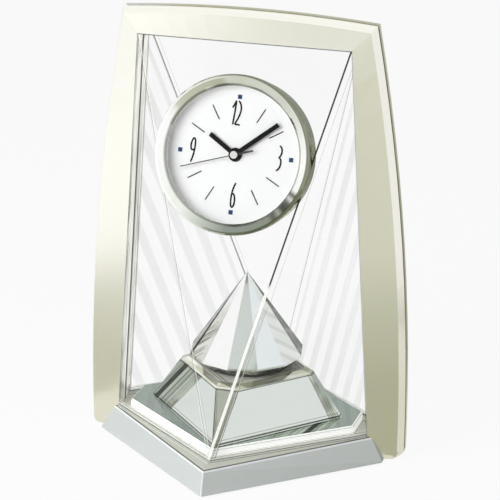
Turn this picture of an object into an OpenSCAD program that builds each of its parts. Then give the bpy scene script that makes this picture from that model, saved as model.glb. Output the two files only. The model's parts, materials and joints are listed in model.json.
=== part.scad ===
// Table clock: a clear double-wedge case in an arched metal frame. A drum clock is pushed through
// the front pane, and a faceted crystal turns on a mirror pedestal inside.
// X runs to the right, Y to the back, Z up. The origin is on the table, under the middle.

/* [Case] */
// Glass left between the drum's hole and the slanted edges of the front centre pane
seam_margin = 0.96; // [0.9:0.02:3]
// Width of the opening at the panes' foot, as a share of its width at the top
opening_flare_share = 1.215; // [1.1:0.005:1.25]
// Height of the opening's top edge
opening_top_z = 220; // [214:0.5:226]
// Height of the panes' lower edge
pane_foot_z = 14.6; // [14.2:0.1:16]
// Depth of the frame from its front inner edge to its rear inner edge
frame_depth = 18.8; // [17:0.2:22]
// Depth of the case from its front corner to its rear corner
case_depth = 132.2; // [128:0.2:136]
// Thickness of the panes
pane_t = 3; // [2.4:0.1:3.4]

/* [Frame] */
// Width of each leg at the panes' foot
leg_w = 17.75; // [14:0.05:22]
// Height at which the frame is widest
frame_widest_z = 22.4; // [15:0.5:40]
// Width of the frame at its top corners, as a share of its greatest width
frame_top_share = 0.774; // [0.7:0.002:0.8]
// Height of the top bar at its ends
top_bar_h = 11.3; // [9:0.1:14]
// Rise of the arched top edge above its corners
frame_arch = 2.9; // [0.5:0.1:6]
// Width of the bevel along the frame's outer edge
frame_bevel_w = 2.3; // [1:0.1:4]
// Depth of the front bevel
frame_bevel_d = 5.8; // [3:0.1:7]
// Depth of the rear frame's side wall
rear_wall_d = 2.9; // [1:0.1:4]
// Depth of the rear bevel
rear_bevel_d = 2; // [1:0.1:3]
// Thickness of the dark strip between the frame halves
strip_t = 2.5; // [1.5:0.1:3.5]
// How far the dark strip lies behind the frame's edge
strip_inset = 1; // [0.4:0.1:2]
// Gap between the frame's feet and the table
frame_foot_z = 1; // [0.6:0.1:1.6]
// Rounding of the frame's lower outer corners
frame_foot_r = 3; // [1:0.5:5]

/* [Base] */
// Height of the base's top face
base_top_z = 13.7; // [13.2:0.1:14]
// How far the base's foot reaches past the case in front and behind
base_foot_lap_d = 13.9; // [11:0.1:16]
// How far the base's foot reaches past the opening at each side
base_foot_lap_w = 8.8; // [6:0.1:11]
// How far the base's top face reaches past the case in front and behind
base_top_lap_d = 9.7; // [7:0.1:11]
// How far the base's top face reaches past the opening at each side
base_top_lap_w = 2.2; // [1.8:0.1:5]
// Rounding of the base's upper edge
base_edge_r = 2.2; // [1:0.1:3]
// Wall of the base
base_wall = 2.2; // [1.6:0.1:2.6]
// Height of the rubber feet
foot_h = 2.6; // [2.2:0.1:3]
// Radius of the rubber feet
foot_r = 6; // [4:0.5:7]
// Thickness of the bottom plate
bottom_t = 1.8; // [1.4:0.1:2.2]

/* [Pedestal] */
// Height of the mirror floor inside the case
floor_z = 19; // [18:0.2:20]
// Depth of the pedestal's foot, as a share of the case's depth
pedestal_depth_share = 0.8775; // [0.8:0.0025:0.89]
// Width of the pedestal's foot, as a share of the opening's width at the panes' foot
pedestal_width_share = 0.7734; // [0.7:0.0002:0.78]
// Height of the pedestal's upper bevel
pedestal_bevel_h = 2; // [1:0.1:3]
// Height of the pedestal's top
pedestal_top_z = 44; // [43.6:0.2:45]
// Size of the pedestal at its bevel as a share of its foot
pedestal_shoulder_share = 0.72; // [0.7:0.01:0.76]
// Size of the pedestal's top as a share of its foot
pedestal_top_share = 0.63; // [0.6:0.01:0.66]
// Wall of the pedestal
pedestal_wall = 2; // [1.4:0.1:2.4]

/* [Crystal] */
// Radius of the crystal's rim
crystal_r = 30; // [26:0.2:31]
// Number of facets round the crystal
crystal_facets = 12; // [8:1:12]
// Height of the crystal above its rim
crystal_h = 43.3; // [38:0.1:47]
// Height of the crystal below its rim
crystal_under_h = 5.2; // [4:0.1:8]
// Radius of the crystal's foot
crystal_foot_r = 24.5; // [23.4:0.1:26]
// Gap between the pedestal and the turntable
turntable_gap = 0.5; // [0.3:0.1:1]
// Thickness of the turntable
turntable_t = 1.5; // [1:0.1:2]
// Radius of the turntable
turntable_r = 23; // [20:0.5:24]

/* [Drum clock] */
// Height of the drum's centre on the front pane, as a share of the pane's height
drum_height_share = 0.7342; // [0.7:0.0002:0.75]
// Radius of the drum's case
drum_r = 39; // [38:0.1:39]
// Wall of the drum's case
drum_wall = 1.2; // [0.8:0.1:1.6]
// How far the drum reaches behind the pane's outer face
drum_back = 13.4; // [13:0.1:15]
// How far the bezel stands out from the pane
bezel_h = 5.8; // [4.8:0.1:7]
// Overhang of the bezel past the drum's case
bezel_lap = 1.6; // [1.2:0.1:2]
// Width of the drum's edge round the visible dial
dial_edge_w = 4.2; // [3.8:0.1:6]
// How far the dial lies behind the pane's outer face
dial_sink = 2; // [1.8:0.1:2.2]
// Thickness of the dial glass
glass_t = 1.4; // [1:0.1:1.6]
// Length of the hour hand, as a share of the drum's radius
hour_len_share = 0.428; // [0.36:0.002:0.46]
// Length of the minute hand, as a share of the drum's radius
minute_len_share = 0.703; // [0.62:0.001:0.74]
// Length of the second hand, as a share of the drum's radius
second_len_share = 0.744; // [0.66:0.002:0.8]
// Width of the hour and minute hands
hand_w = 2.3; // [1.4:0.1:3]
// Hour hand's place at rest, clockwise from twelve
hour_angle = 304; // [0:1:359]
// Minute hand's place at rest, clockwise from twelve
minute_angle = 51.7; // [0:0.1:359]
// Second hand's place at rest, clockwise from twelve
second_angle = 253.3; // [0:0.1:359]
// Distance from the dial's centre to the square marks, as a share of the drum's radius
mark_ring_share = 0.7487; // [0.7:0.0001:0.77]
// Side of the square marks
mark_side = 2.1; // [1.4:0.1:2.6]
// Width of the movement, as a share of the drum's radius
movement_share = 1.3846; // [1.3:0.0002:1.39]

/* [Turning drive] */
// Distance between the drive's axles, as a share of the pedestal's reach
drive_share = 0.614; // [0.6:0.002:0.62]
// Radius of the spindle
spindle_r = 3; // [2.5:0.1:3.5]
// Radius of the geared motor
motor_r = 10; // [8:0.2:10.6]
// Gap between the geared motor and the bottom plate
motor_foot_gap = 3.6; // [2:0.1:6]
// Radius of the drive's battery cell
cell_r = 7.25; // [6.8:0.05:7.3]
// Length of the drive's battery cell
cell_len = 50.5; // [48:0.5:51]

/* [Hidden] */

// Smoothness of round pieces
$fn = 96;
hull_fn = 32;
// One overrun for every cut, and the gaps between pieces
over = 1;
fit_gap = 0.2;
run_gap = 0.05;
slide_gap = 0.15;

// Case planes, with the outward normal and the distance from the origin
half_depth = frame_depth / 2;
case_reach = case_depth / 2;
pane_rise = opening_top_z - pane_foot_z;
pane_tilt = atan((case_reach - half_depth) / pane_rise);
drum_z = pane_foot_z + drum_height_share * pane_rise;
seam_angle = asin((drum_r + seam_margin) * cos(pane_tilt) / (drum_z - pane_foot_z));
opening_top_w = 2 * pane_rise / cos(pane_tilt) * tan(seam_angle);
opening_foot_w = opening_flare_share * opening_top_w;
corner_tl = [-opening_top_w / 2, -half_depth, opening_top_z];
corner_tr = [opening_top_w / 2, -half_depth, opening_top_z];
corner_bl = [-opening_foot_w / 2, -half_depth, pane_foot_z];
corner_br = [opening_foot_w / 2, -half_depth, pane_foot_z];
corner_f = [0, -case_reach, pane_foot_z];

function unit(v) = v / norm(v);
function plane(a, b, c, sink = 0) = let (n = unit(cross(b - a, c - a))) [n, n * a - sink];
function meet(p, q, r) = (p[1] * cross(q[0], r[0]) + q[1] * cross(r[0], p[0]) + r[1] * cross(p[0], q[0]))
    / (p[0] * cross(q[0], r[0]));

centre_in = plane(corner_tl, corner_f, corner_tr, pane_t);
left_in = plane(corner_tl, corner_bl, corner_f, pane_t);
right_in = plane(corner_tr, corner_f, corner_br, pane_t);
top_plane = [[0, 0, 1], opening_top_z];
foot_plane = [[0, 0, 1], pane_foot_z];
leg_plane = plane(corner_tl, corner_tl + [0, half_depth, 0], corner_bl);

// Frame outline, in front view, from the left foot over the top to the right foot
frame_w = opening_foot_w + 2 * leg_w;
frame_top_w = frame_top_share * frame_w;
frame_corner_z = opening_top_z + top_bar_h;
frame_bow = (frame_w - frame_top_w) / 2 / pow(frame_corner_z - frame_widest_z, 2);
leg_steps = 12;
top_steps = 12;
foot_turns = [0, 30, 60, 90];
leg_shares = concat([for (a = foot_turns) frame_foot_r * (1 - cos(a)) / (frame_corner_z - frame_foot_z)],
    [for (i = [1:leg_steps]) i / leg_steps]);

function outer_half_w(z) = frame_w / 2 - frame_bow * pow(z - frame_widest_z, 2);
function foot_rounding(z) = z >= frame_foot_z + frame_foot_r ? 0
    : frame_foot_r - sqrt(pow(frame_foot_r, 2) - pow(frame_foot_z + frame_foot_r - z, 2));
function opening_half_w(z) = opening_top_w / 2
    + (opening_foot_w - opening_top_w) / 2 * (opening_top_z - z) / pane_rise;
function leg_outer(share, side, inset) =
    let (z = frame_foot_z + share * (frame_corner_z - inset - frame_foot_z))
    [side * (outer_half_w(z) - inset - foot_rounding(z)), z];
function leg_inner(share, side, grow) =
    let (z = frame_foot_z + share * (opening_top_z - grow - frame_foot_z))
    [side * (opening_half_w(z) - grow), z];
function top_outer(share, inset) =
    let (half = outer_half_w(frame_corner_z - inset) - inset, across = 2 * share - 1)
    [half * across, frame_corner_z - inset + frame_arch * (1 - pow(across, 2))];
function top_inner(share, grow) = let (half = opening_half_w(opening_top_z - grow) - grow)
    [half * (2 * share - 1), opening_top_z - grow];
function reversed(list) = [for (i = [len(list) - 1:-1:0]) list[i]];
function outer_path(inset) = concat([for (s = leg_shares) leg_outer(s, -1, inset)],
    [for (i = [1:top_steps - 1]) top_outer(i / top_steps, inset)],
    [for (s = reversed(leg_shares)) leg_outer(s, 1, inset)]);
function inner_path(grow) = concat([for (s = leg_shares) leg_inner(s, -1, grow)],
    [for (i = [1:top_steps - 1]) top_inner(i / top_steps, grow)],
    [for (s = reversed(leg_shares)) leg_inner(s, 1, grow)]);

// A closed section carried along the frame: rows are [path, y], all with as many points
module carried_section(rows) {
    count = len(rows[0][0]);
    n = len(rows);
    points = [for (i = [0:count - 1]) for (row = rows) [row[0][i][0], row[1], row[0][i][1]]];
    sides = [for (i = [0:count - 2]) for (k = [0:n - 1]) let (a = i * n + k, b = i * n + (k + 1) % n)
        each [[a, a + n, b], [b, a + n, b + n]]];
    last = (count - 1) * n;
    caps = [for (k = [1:n - 2]) each [[0, k, k + 1], [last, last + k + 1, last + k]]];
    polyhedron(points = points, faces = concat(sides, caps));
}

// Frame layers in depth
strip_y = 0;
rear_y = strip_y + strip_t;
rear_bevel_y = rear_y + rear_wall_d;
screw_r = 1.5;
screw_head_r = 2.6;
screw_head_h = 1.2;
frame_screw_len = 10;
frame_screw_places = [for (side = [-1, 1]) for (z = [opening_top_z * 0.22, opening_top_z * 0.78])
    [side * (opening_half_w(z) + outer_half_w(z)) / 2, z]];
leg_screw_z = pane_foot_z / 2;
leg_screw_len = 12;
leg_screw_ys = [-half_depth / 2, (rear_y + half_depth) / 2];
leg_screw_x = opening_half_w(leg_screw_z) - 2 * fit_gap - base_wall;

// Base levels and outlines
base_foot_z = frame_foot_z;
base_foot_d = case_depth + 2 * base_foot_lap_d;
base_foot_w = opening_foot_w + 2 * base_foot_lap_w;
base_top_d = case_depth + 2 * base_top_lap_d;
base_top_w = opening_foot_w + 2 * base_top_lap_w;
bottom_z = foot_h;
bottom_top_z = bottom_z + bottom_t;
seat_lip = 1;
seat_w = pane_t + 2 * seat_lip;
case_slope = (case_reach - half_depth) / (opening_foot_w / 2);
plan_angle = atan(case_slope);
floor_side_x = opening_foot_w * 0.446;
floor_edge = 0.8;
foot_places = [[0, -base_foot_d * 0.385], [0, base_foot_d * 0.385], [-base_foot_w * 0.375, 0],
    [base_foot_w * 0.375, 0]];

function rhombus(half_w, half_d) = [[0, -half_d], [half_w, 0], [0, half_d], [-half_w, 0]];
// Rhombus with the slope of the case, cut off at the sides
function cut_rhombus(half_d, half_w, slope = case_slope) = let (y = max(half_d - half_w * slope, 0))
    [[0, -half_d], [half_w, -y], [half_w, y], [0, half_d], [-half_w, y], [-half_w, -y]];
function base_outline(d, w, slope) = let (y = (d - w * slope) / 2)
    [[0, -d / 2], [w / 2, -y], [w / 2, y], [0, d / 2], [-w / 2, y], [-w / 2, -y]];
base_slope_foot = base_foot_d * 0.425 / (base_foot_w / 2);
base_slope_top = (base_top_d / 2 - base_foot_d * 0.0556) / (base_top_w / 2);

// Pedestal outline at a height: shares of the foot, with the front and side corners cut
pedestal_d = case_depth * pedestal_depth_share;
pedestal_w = opening_foot_w * pedestal_width_share;
pedestal_bevel_z = pedestal_top_z - pedestal_bevel_h;
pedestal_face = pedestal_w * pedestal_d / 2 / norm([pedestal_w, pedestal_d]);
pedestal_cut_foot = 1.2;
pedestal_cut_top = 6;
pedestal_side_cut = 2.4;
function pedestal_outline(share, cut, side_cut) =
    let (half_w = pedestal_w / 2 * share, half_d = pedestal_d / 2 * share, slope = pedestal_d / pedestal_w)
    let (y = half_d - cut * slope, x = half_w - side_cut / slope)
    [[cut, -y], [x, -side_cut], [x, side_cut], [cut, y], [-cut, y], [-x, side_cut], [-x, -side_cut],
        [-cut, -y]];
window_share = 0.92;

// Drive for the crystal
drive_teeth = 48;
pinion_teeth = 12;
drive_distance = pedestal_face * drive_share;
drive_module = drive_distance * 2 / (drive_teeth + pinion_teeth);
motor_turn = -12;
motor_x = drive_distance * cos(motor_turn);
motor_y = drive_distance * sin(motor_turn);
plate_t = 2;
plate_drop = 20;
plate_z = pedestal_top_z - plate_drop;
motor_len = plate_z - bottom_top_z - motor_foot_gap;
plate_top_z = plate_z + plate_t;
bush_r = 5;
bush_flange_r = 7;
bush_flange_t = 1.2;
bush_rise = 4;
bush_drop = 3;
bush_top_z = plate_top_z + bush_rise;
bush_foot_z = plate_z - bush_drop;
gear_lift = 1;
gear_z = bush_top_z + gear_lift;
gear_t = 3;
gear_hub_r = 6;
gear_hub_h = 2;
gear_hub_top_z = gear_z + gear_t + gear_hub_h;
pinion_over = 0.4;
motor_shaft_r = 1.5;
spindle_drop = 1;
spindle_foot_z = bush_foot_z - spindle_drop;
turntable_z = pedestal_top_z + turntable_gap;
turntable_top_z = turntable_z + turntable_t;
crystal_rim_z = turntable_top_z + crystal_under_h;
crystal_tip_z = crystal_rim_z + crystal_h;
post_r = 3.5;
boss_r = 3;
boss_drop = 3;
self_tap_r = 1.2;

// Drive's battery, its tray and its door
cell_y = 17;
cell_lift = 1;
cell_z = bottom_z + cell_lift + cell_r;
tray_gap = 0.4;
tray_wall = 1.2;
tray_top_z = base_top_z - base_wall - fit_gap;
contact_t = 0.5;
tray_half_l = cell_len / 2 + contact_t;
tray_half_w = cell_r + tray_gap;
door_t = 1.2;
door_gap = 0.1;
door_lap_l = 2;
door_lap_w = 1.6;
door_half_l = tray_half_l + door_lap_l;
door_half_w = tray_half_w + door_lap_w;
rail_w = 1.2;
rail_x = door_half_l + slide_gap + rail_w / 2;
lip_t = 0.5;
lip_z = bottom_z - door_t - 2 * door_gap - lip_t;

// Places of the bottom plate's screws: the drive's posts clear the battery tray
post_gap = 1.4;
post_y = cell_y + tray_half_w + tray_wall + post_gap + screw_head_r + fit_gap;
post_places = [[-0.3025 * pedestal_w, 0], [0, post_y], [0.038 * pedestal_w, -0.293 * pedestal_d]];
boss_places = [for (x = [-0.259, 0.259]) for (y = [-0.1625, 0.1625]) [x * base_foot_w, y * base_foot_d]];

// Drive's switch
switch_place = [-0.189 * pedestal_w, -0.276 * pedestal_d];
switch_l = 12;
switch_w = 6;
switch_h = 5;
slider_l = 4;
slider_w = 3;
slider_travel = 3;
slider_foot_z = 1.4;

// Drum clock, along its own axis: zero is the pane's outer face, and plus is towards the front
drum_y = -half_depth - (opening_top_z - drum_z) * tan(pane_tilt);
dial_t = 0.6;
dial_s = -dial_sink;
glass_s = 1.7;
glass_top_s = glass_s + glass_t;
case_front_s = 1.9;
drum_in_r = drum_r - drum_wall;
bezel_r = drum_r + bezel_lap;
dial_view_r = drum_r - dial_edge_w;
hour_len = drum_r * hour_len_share;
minute_len = drum_r * minute_len_share;
second_len = drum_r * second_len_share;
mark_ring_r = drum_r * mark_ring_share;
movement_w = drum_r * movement_share;
bezel_foot_s = 0.1;
sleeve_t = 0.45;
sleeve_r = drum_r + run_gap;
hole_r = sleeve_r + sleeve_t;
ledge_t = 1.4;
ledge_w = 1.8;
ring_view_gap = 0.5;
ring_view_r = dial_view_r + ring_view_gap;
disc_gap = 0.1;
mark_t = 0.15;

// Movement
movement_front_s = dial_s - dial_t;
movement_wall = 1;
movement_d = 9;
movement_back_s = movement_front_s - movement_d;
movement_corner_r = movement_w * 0.148;
bushing_r = 3.5;
bushing_rise = 0.4;
bushing_top_s = dial_s + bushing_rise;
second_r = 0.65;
minute_in_r = second_r + run_gap;
minute_r = 1.3;
hour_in_r = minute_r + run_gap;
hour_r = 2.1;
bushing_in_r = hour_r + run_gap;
hand_t = 0.4;
hand_pitch = 0.8;
hour_hand_s = dial_s + hand_pitch;
minute_hand_s = hour_hand_s + hand_pitch;
second_hand_s = minute_hand_s + hand_pitch;
second_t = 0.3;
second_hub_h = 0.8;
boss_top_s = second_hand_s + second_hub_h;
hour_hub_r = 3.3;
minute_hub_r = 2.9;
second_hub_r = 2.2;
second_w = 0.5;
second_tail = 10.2;
second_tail_w = 1;
motion_module = 0.4;
cannon_teeth = 12;
wheel_teeth = 36;
knob_distance = motion_module * (cannon_teeth + wheel_teeth) / 2;
leaf_teeth = 10;
hour_teeth = 40;
hour_module = 2 * knob_distance / (leaf_teeth + hour_teeth);
knob_turn = 90;
wheel_pitch = 1.8;
hour_wheel_s = movement_front_s - movement_wall - wheel_pitch;
hour_wheel_t = 1;
hour_wheel_drop = 2;
cannon_s = hour_wheel_s - hour_wheel_drop;
cannon_t = 1.2;
second_wheel_s = cannon_s - wheel_pitch;
second_wheel_r = 5;
second_wheel_t = 0.6;
knob_shaft_r = 1;
knob_r = 5.5;
knob_h = 3.8;
cover_t = 1.2;
cover_s = -drum_back;
knob_gap = 0.8;
knob_s = cover_s - knob_gap - knob_h;
cover_boss_r = 3.3;
cover_screw_ring_r = drum_in_r - cover_boss_r + 0.5 * drum_wall;
small_cell_r = 5.25;
small_cell_len = 44.5;
small_cell_y = -drum_r * 0.41;
small_cell_gap = 0.4;
small_cell_s = movement_back_s - small_cell_r - small_cell_gap;
box_wall = 1.2;
box_lap = 3;
box_half_l = small_cell_len / 2 + box_lap;
box_half_w = small_cell_r + box_wall + fit_gap + small_cell_gap;
box_s = small_cell_s - small_cell_r - 2 * small_cell_gap;
hatch_t = 1.2;
hatch_half_l = box_half_l - box_wall;

module in_drum() {
    translate([0, drum_y, drum_z]) rotate([90 - pane_tilt, 0, 0]) children();
}

// Involute tooth profile, as a closed outline
pressure_angle = 20;
tip_share = 0.8;
root_share = 1.15;
tooth_share = 0.86;
function involute_turn(radius, base_r) = let (a = acos(min(base_r / radius, 1))) tan(a) * 180 / PI - a;
function flank(radii, base_r, half, side) =
    [for (r = radii) let (a = half - involute_turn(max(r, base_r), base_r))
        r * [cos(side * a), sin(side * a)]];
function turned(p, a) = [p[0] * cos(a) - p[1] * sin(a), p[0] * sin(a) + p[1] * cos(a)];
function gear_outline(teeth, size) =
    let (pitch_r = teeth * size / 2, base_r = pitch_r * cos(pressure_angle))
    let (root_r = pitch_r - root_share * size, tip_r = pitch_r + tip_share * size)
    let (half = 90 / teeth * tooth_share + involute_turn(pitch_r, base_r))
    let (start_r = max(base_r, root_r))
    let (radii = concat([root_r], [for (k = [0:3]) start_r + (tip_r - start_r) * k / 3]))
    [for (i = [0:teeth - 1]) each [for (p = concat(flank(radii, base_r, half, -1),
        reversed(flank(radii, base_r, half, 1)))) turned(p, i * 360 / teeth)]];
module gear(teeth, size, height) {
    linear_extrude(height = height) polygon(gear_outline(teeth, size));
}

module pin(r, low, high) {
    translate([0, 0, low]) cylinder(r = r, h = high - low);
}

module ring(outer_r, inner_r, low, high) {
    difference() {
        pin(outer_r, low, high);
        pin(inner_r, low - over, high + over);
    }
}

module at(place) {
    translate([place[0], place[1], 0]) children();
}

module slab(outline, low, high) {
    translate([0, 0, low]) linear_extrude(height = high - low) polygon(outline);
}

module block(low, high) {
    translate(low) cube(high - low);
}

// Frame
function leg_plan(z, side, grow) = let (inner = opening_half_w(z) - grow, outer = frame_w / 2)
    [[side * inner, -half_depth - grow], [side * (outer - frame_bevel_w), -frame_bevel_d - grow],
        [side * (outer + over), strip_y], [side * (outer + over), rear_bevel_y + grow],
        [side * (outer - frame_bevel_w), rear_bevel_y + rear_bevel_d + grow],
        [side * inner, half_depth + grow]];
module leg_space(grow) {
    for (side = [-1, 1]) hull() for (z = [-over, base_top_z + over])
        slab(leg_plan(z, side, grow), z, z + run_gap);
}

module frame_screw_holes(r) {
    for (place = frame_screw_places) {
        translate([place[0], half_depth, place[1]]) rotate([90, 0, 0])
            pin(r, -over, half_depth + half_depth / 2);
    }
}

module frame_head_holes() {
    for (place = frame_screw_places) {
        translate([place[0], rear_bevel_y + rear_bevel_d, place[1]]) rotate([90, 0, 0])
            pin(screw_head_r + fit_gap, -half_depth, screw_head_h);
    }
}

module leg_screw_holes(r) {
    for (side = [-1, 1]) for (y = leg_screw_ys) {
        translate([side * leg_screw_x, y, leg_screw_z]) rotate([0, side * 90, 0])
            pin(r, -over, leg_screw_len + fit_gap);
    }
}

module front_frame() {
    color([0.87, 0.86, 0.80]) difference() {
        carried_section([[inner_path(0), -half_depth], [outer_path(frame_bevel_w), -frame_bevel_d],
            [outer_path(0), strip_y], [inner_path(0), strip_y]]);
        frame_screw_holes(screw_r);
        leg_screw_holes(screw_r);
    }
}

module parting_strip() {
    color([0.22, 0.23, 0.20]) difference() {
        carried_section([[inner_path(0), strip_y], [outer_path(strip_inset), strip_y],
            [outer_path(strip_inset), rear_y], [inner_path(0), rear_y]]);
        frame_screw_holes(screw_r + fit_gap);
    }
}

module rear_frame() {
    color([0.86, 0.85, 0.79]) difference() {
        carried_section([[inner_path(0), rear_y], [outer_path(0), rear_y], [outer_path(0), rear_bevel_y],
            [outer_path(frame_bevel_w), rear_bevel_y + rear_bevel_d], [inner_path(0), half_depth]]);
        frame_screw_holes(screw_r + fit_gap);
        frame_head_holes();
        leg_screw_holes(screw_r);
    }
}

module frame_screws() {
    color([0.55, 0.55, 0.53]) for (place = frame_screw_places) {
        translate([place[0], rear_bevel_y + rear_bevel_d, place[1]]) rotate([90, 0, 0]) {
            pin(screw_head_r, 0, screw_head_h);
            pin(screw_r, screw_head_h, frame_screw_len);
        }
    }
}

module leg_screws() {
    color([0.55, 0.55, 0.53]) for (side = [-1, 1]) for (y = leg_screw_ys) {
        translate([side * leg_screw_x, y, leg_screw_z]) rotate([0, side * 90, 0]) {
            pin(screw_head_r, -screw_head_h, 0);
            pin(screw_r, 0, leg_screw_len);
        }
    }
}

// Panes
module centre_pane_body() {
    inner_l = meet(centre_in, left_in, top_plane);
    inner_r = meet(centre_in, right_in, top_plane);
    inner_f = meet(centre_in, left_in, right_in);
    polyhedron(points = [corner_tl, corner_tr, corner_f, inner_l, inner_r, inner_f],
        faces = [[0, 1, 2], [3, 5, 4], [0, 3, 4, 1], [1, 4, 5, 2], [2, 5, 3, 0]]);
}

module side_pane_body() {
    difference() {
        left_pane_body();
        in_drum() pin(hole_r, -drum_back, 0);
    }
}

module left_pane_body() {
    inner_top = meet(centre_in, left_in, top_plane);
    inner_leg = meet(left_in, top_plane, leg_plane);
    inner_foot = meet(left_in, foot_plane, leg_plane);
    front_foot = meet(left_in, right_in, foot_plane);
    front_top = meet(centre_in, left_in, right_in);
    polyhedron(points = [corner_tl, corner_bl, corner_f, inner_top, inner_leg, inner_foot, front_foot,
        front_top],
        faces = [[0, 2, 1], [3, 4, 5, 6, 7], [0, 4, 3], [0, 1, 5, 4], [1, 2, 6, 5], [2, 7, 6],
            [0, 3, 7, 2]]);
}

module front_centre_pane() {
    color([0.85, 0.93, 0.92, 0.35]) difference() {
        centre_pane_body();
        in_drum() pin(hole_r, -pane_t - over, over);
    }
}

module front_left_pane() {
    color([0.85, 0.93, 0.92, 0.35]) side_pane_body();
}

module front_right_pane() {
    color([0.85, 0.93, 0.92, 0.35]) mirror([1, 0, 0]) side_pane_body();
}

module rear_centre_pane() {
    color([0.85, 0.93, 0.92, 0.35]) mirror([0, 1, 0]) centre_pane_body();
}

module rear_left_pane() {
    color([0.88, 0.92, 0.94, 0.45]) mirror([0, 1, 0]) left_pane_body();
}

module rear_right_pane() {
    color([0.88, 0.92, 0.94, 0.45]) mirror([0, 1, 0]) mirror([1, 0, 0]) left_pane_body();
}

module hole_sleeve() {
    color([0.80, 0.82, 0.80]) in_drum() ring(hole_r, sleeve_r, -pane_t, 0);
}

// Base
module base_solid(inset, top_drop) {
    hull() {
        slab(base_outline(base_foot_d - 2 * inset, base_foot_w - 2 * inset, base_slope_foot),
            base_foot_z, base_foot_z + floor_edge);
        for (turn = [0, 35, 65, 90]) {
            drop = base_edge_r * (1 - sin(turn));
            draw_in = inset + base_edge_r * (1 - cos(turn));
            slab(base_outline(base_top_d + 2 * floor_edge - 2 * draw_in,
                base_top_w + 2 * floor_edge - 2 * draw_in, base_slope_top),
                base_top_z - top_drop - drop - run_gap, base_top_z - top_drop - drop);
        }
    }
}

module base_shell() {
    color([0.80, 0.82, 0.81]) difference() {
        base_solid(0, 0);
        difference() {
            translate([0, 0, -over]) base_solid(base_wall, base_wall - over);
            leg_space(fit_gap + base_wall);
            for (place = boss_places) {
                at(place) pin(boss_r, bottom_top_z, base_top_z);
            }
        }
        leg_space(fit_gap);
        slab(rhombus(pedestal_w / 2 * window_share, pedestal_d / 2 * window_share), 0, base_top_z + over);
        leg_screw_holes(screw_r + fit_gap);
        for (place = boss_places) {
            at(place) pin(self_tap_r, bottom_top_z - over, base_top_z - boss_drop);
        }
    }
}

module tray_walls() {
    difference() {
        block([-tray_half_l - tray_wall, cell_y - tray_half_w - tray_wall, bottom_z],
            [tray_half_l + tray_wall, cell_y + tray_half_w + tray_wall, tray_top_z]);
        block([-tray_half_l, cell_y - tray_half_w, bottom_z - over],
            [tray_half_l, cell_y + tray_half_w, tray_top_z + over]);
    }
}

module screw_hole_up(place) {
    at(place) {
        pin(screw_r + fit_gap, bottom_z - over, bottom_top_z + over);
        pin(screw_head_r + fit_gap, bottom_z - over, bottom_z + bottom_t / 2);
    }
}

module base_bottom_plate() {
    plate_half_w = opening_foot_w / 2 - base_wall - 2 * fit_gap;
    plate_half_d = base_foot_d / 2 - base_wall * 2;
    color([0.20, 0.20, 0.20]) difference() {
        union() {
            slab(cut_rhombus(plate_half_d, plate_half_w, (base_slope_foot + base_slope_top) / 2),
                bottom_z, bottom_top_z);
            tray_walls();
            for (side = [-1, 1]) {
                block([side * rail_x - rail_w / 2, cell_y - door_half_w, lip_z],
                    [side * rail_x + rail_w / 2, cell_y + door_half_w, bottom_z]);
                block([side * (rail_x - rail_w) - rail_w / 2, cell_y - door_half_w, lip_z],
                    [side * (rail_x - rail_w) + rail_w / 2, cell_y + door_half_w, lip_z + lip_t]);
            }
        }
        block([-tray_half_l, cell_y - tray_half_w, bottom_z - over],
            [tray_half_l, cell_y + tray_half_w, bottom_top_z + over]);
        for (place = concat(boss_places, post_places)) screw_hole_up(place);
        at(switch_place)
            block([-(slider_l + slider_travel) / 2 - slide_gap, -slider_w / 2 - slide_gap, bottom_z - over],
                [(slider_l + slider_travel) / 2 + slide_gap, slider_w / 2 + slide_gap,
                    bottom_top_z + over]);
    }
}

module base_screws() {
    color([0.55, 0.55, 0.53]) for (place = concat(boss_places, post_places)) at(place) {
        pin(screw_head_r, bottom_z, bottom_z + bottom_t / 2);
        pin(self_tap_r, bottom_z + bottom_t / 2, bottom_top_z + boss_drop);
    }
}

module rubber_feet() {
    color([0.12, 0.12, 0.12]) for (place = foot_places) at(place) pin(foot_r, 0, foot_h);
}

module glass_seat() {
    outer_d = case_reach + seat_lip / cos(plan_angle);
    inner_d = outer_d - seat_w / cos(plan_angle);
    half_w = opening_half_w(base_top_z) - fit_gap;
    color([0.72, 0.75, 0.74]) difference() {
        slab(cut_rhombus(outer_d, half_w), base_top_z, pane_foot_z);
        slab(cut_rhombus(inner_d, half_w + over), base_top_z - over, pane_foot_z + over);
        block([seat_w - half_w, -half_depth, base_top_z - over],
            [half_w - seat_w, half_depth, pane_foot_z + over]);
    }
}

module floor_plate() {
    edge_d = case_reach + (seat_lip - seat_w - fit_gap) / cos(plan_angle);
    color([0.74, 0.77, 0.77]) difference() {
        hull() {
            slab(cut_rhombus(edge_d, floor_side_x), base_top_z, floor_z - floor_edge);
            slab(cut_rhombus(edge_d - floor_edge, floor_side_x - floor_edge), base_top_z, floor_z);
        }
        slab(rhombus(pedestal_w / 2 * window_share, pedestal_d / 2 * window_share), 0, floor_z + over);
    }
}

module pedestal() {
    inset = pedestal_wall / pedestal_face;
    thin = run_gap;
    color([0.78, 0.81, 0.80]) difference() {
        hull() {
            slab(pedestal_outline(1, pedestal_cut_foot, pedestal_cut_foot), floor_z, floor_z + thin);
            slab(pedestal_outline(pedestal_shoulder_share, pedestal_cut_top, pedestal_side_cut),
                pedestal_bevel_z - thin, pedestal_bevel_z);
            slab(pedestal_outline(pedestal_top_share, pedestal_cut_top, pedestal_side_cut),
                pedestal_top_z - thin, pedestal_top_z);
        }
        hull() {
            slab(pedestal_outline(1 - inset, pedestal_cut_foot, pedestal_cut_foot), floor_z - over,
                floor_z + thin);
            slab(pedestal_outline(pedestal_shoulder_share - inset, pedestal_cut_top, pedestal_side_cut),
                pedestal_top_z - pedestal_wall - thin, pedestal_top_z - pedestal_wall);
        }
        pin(spindle_r + over, floor_z, pedestal_top_z + over);
    }
}

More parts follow.
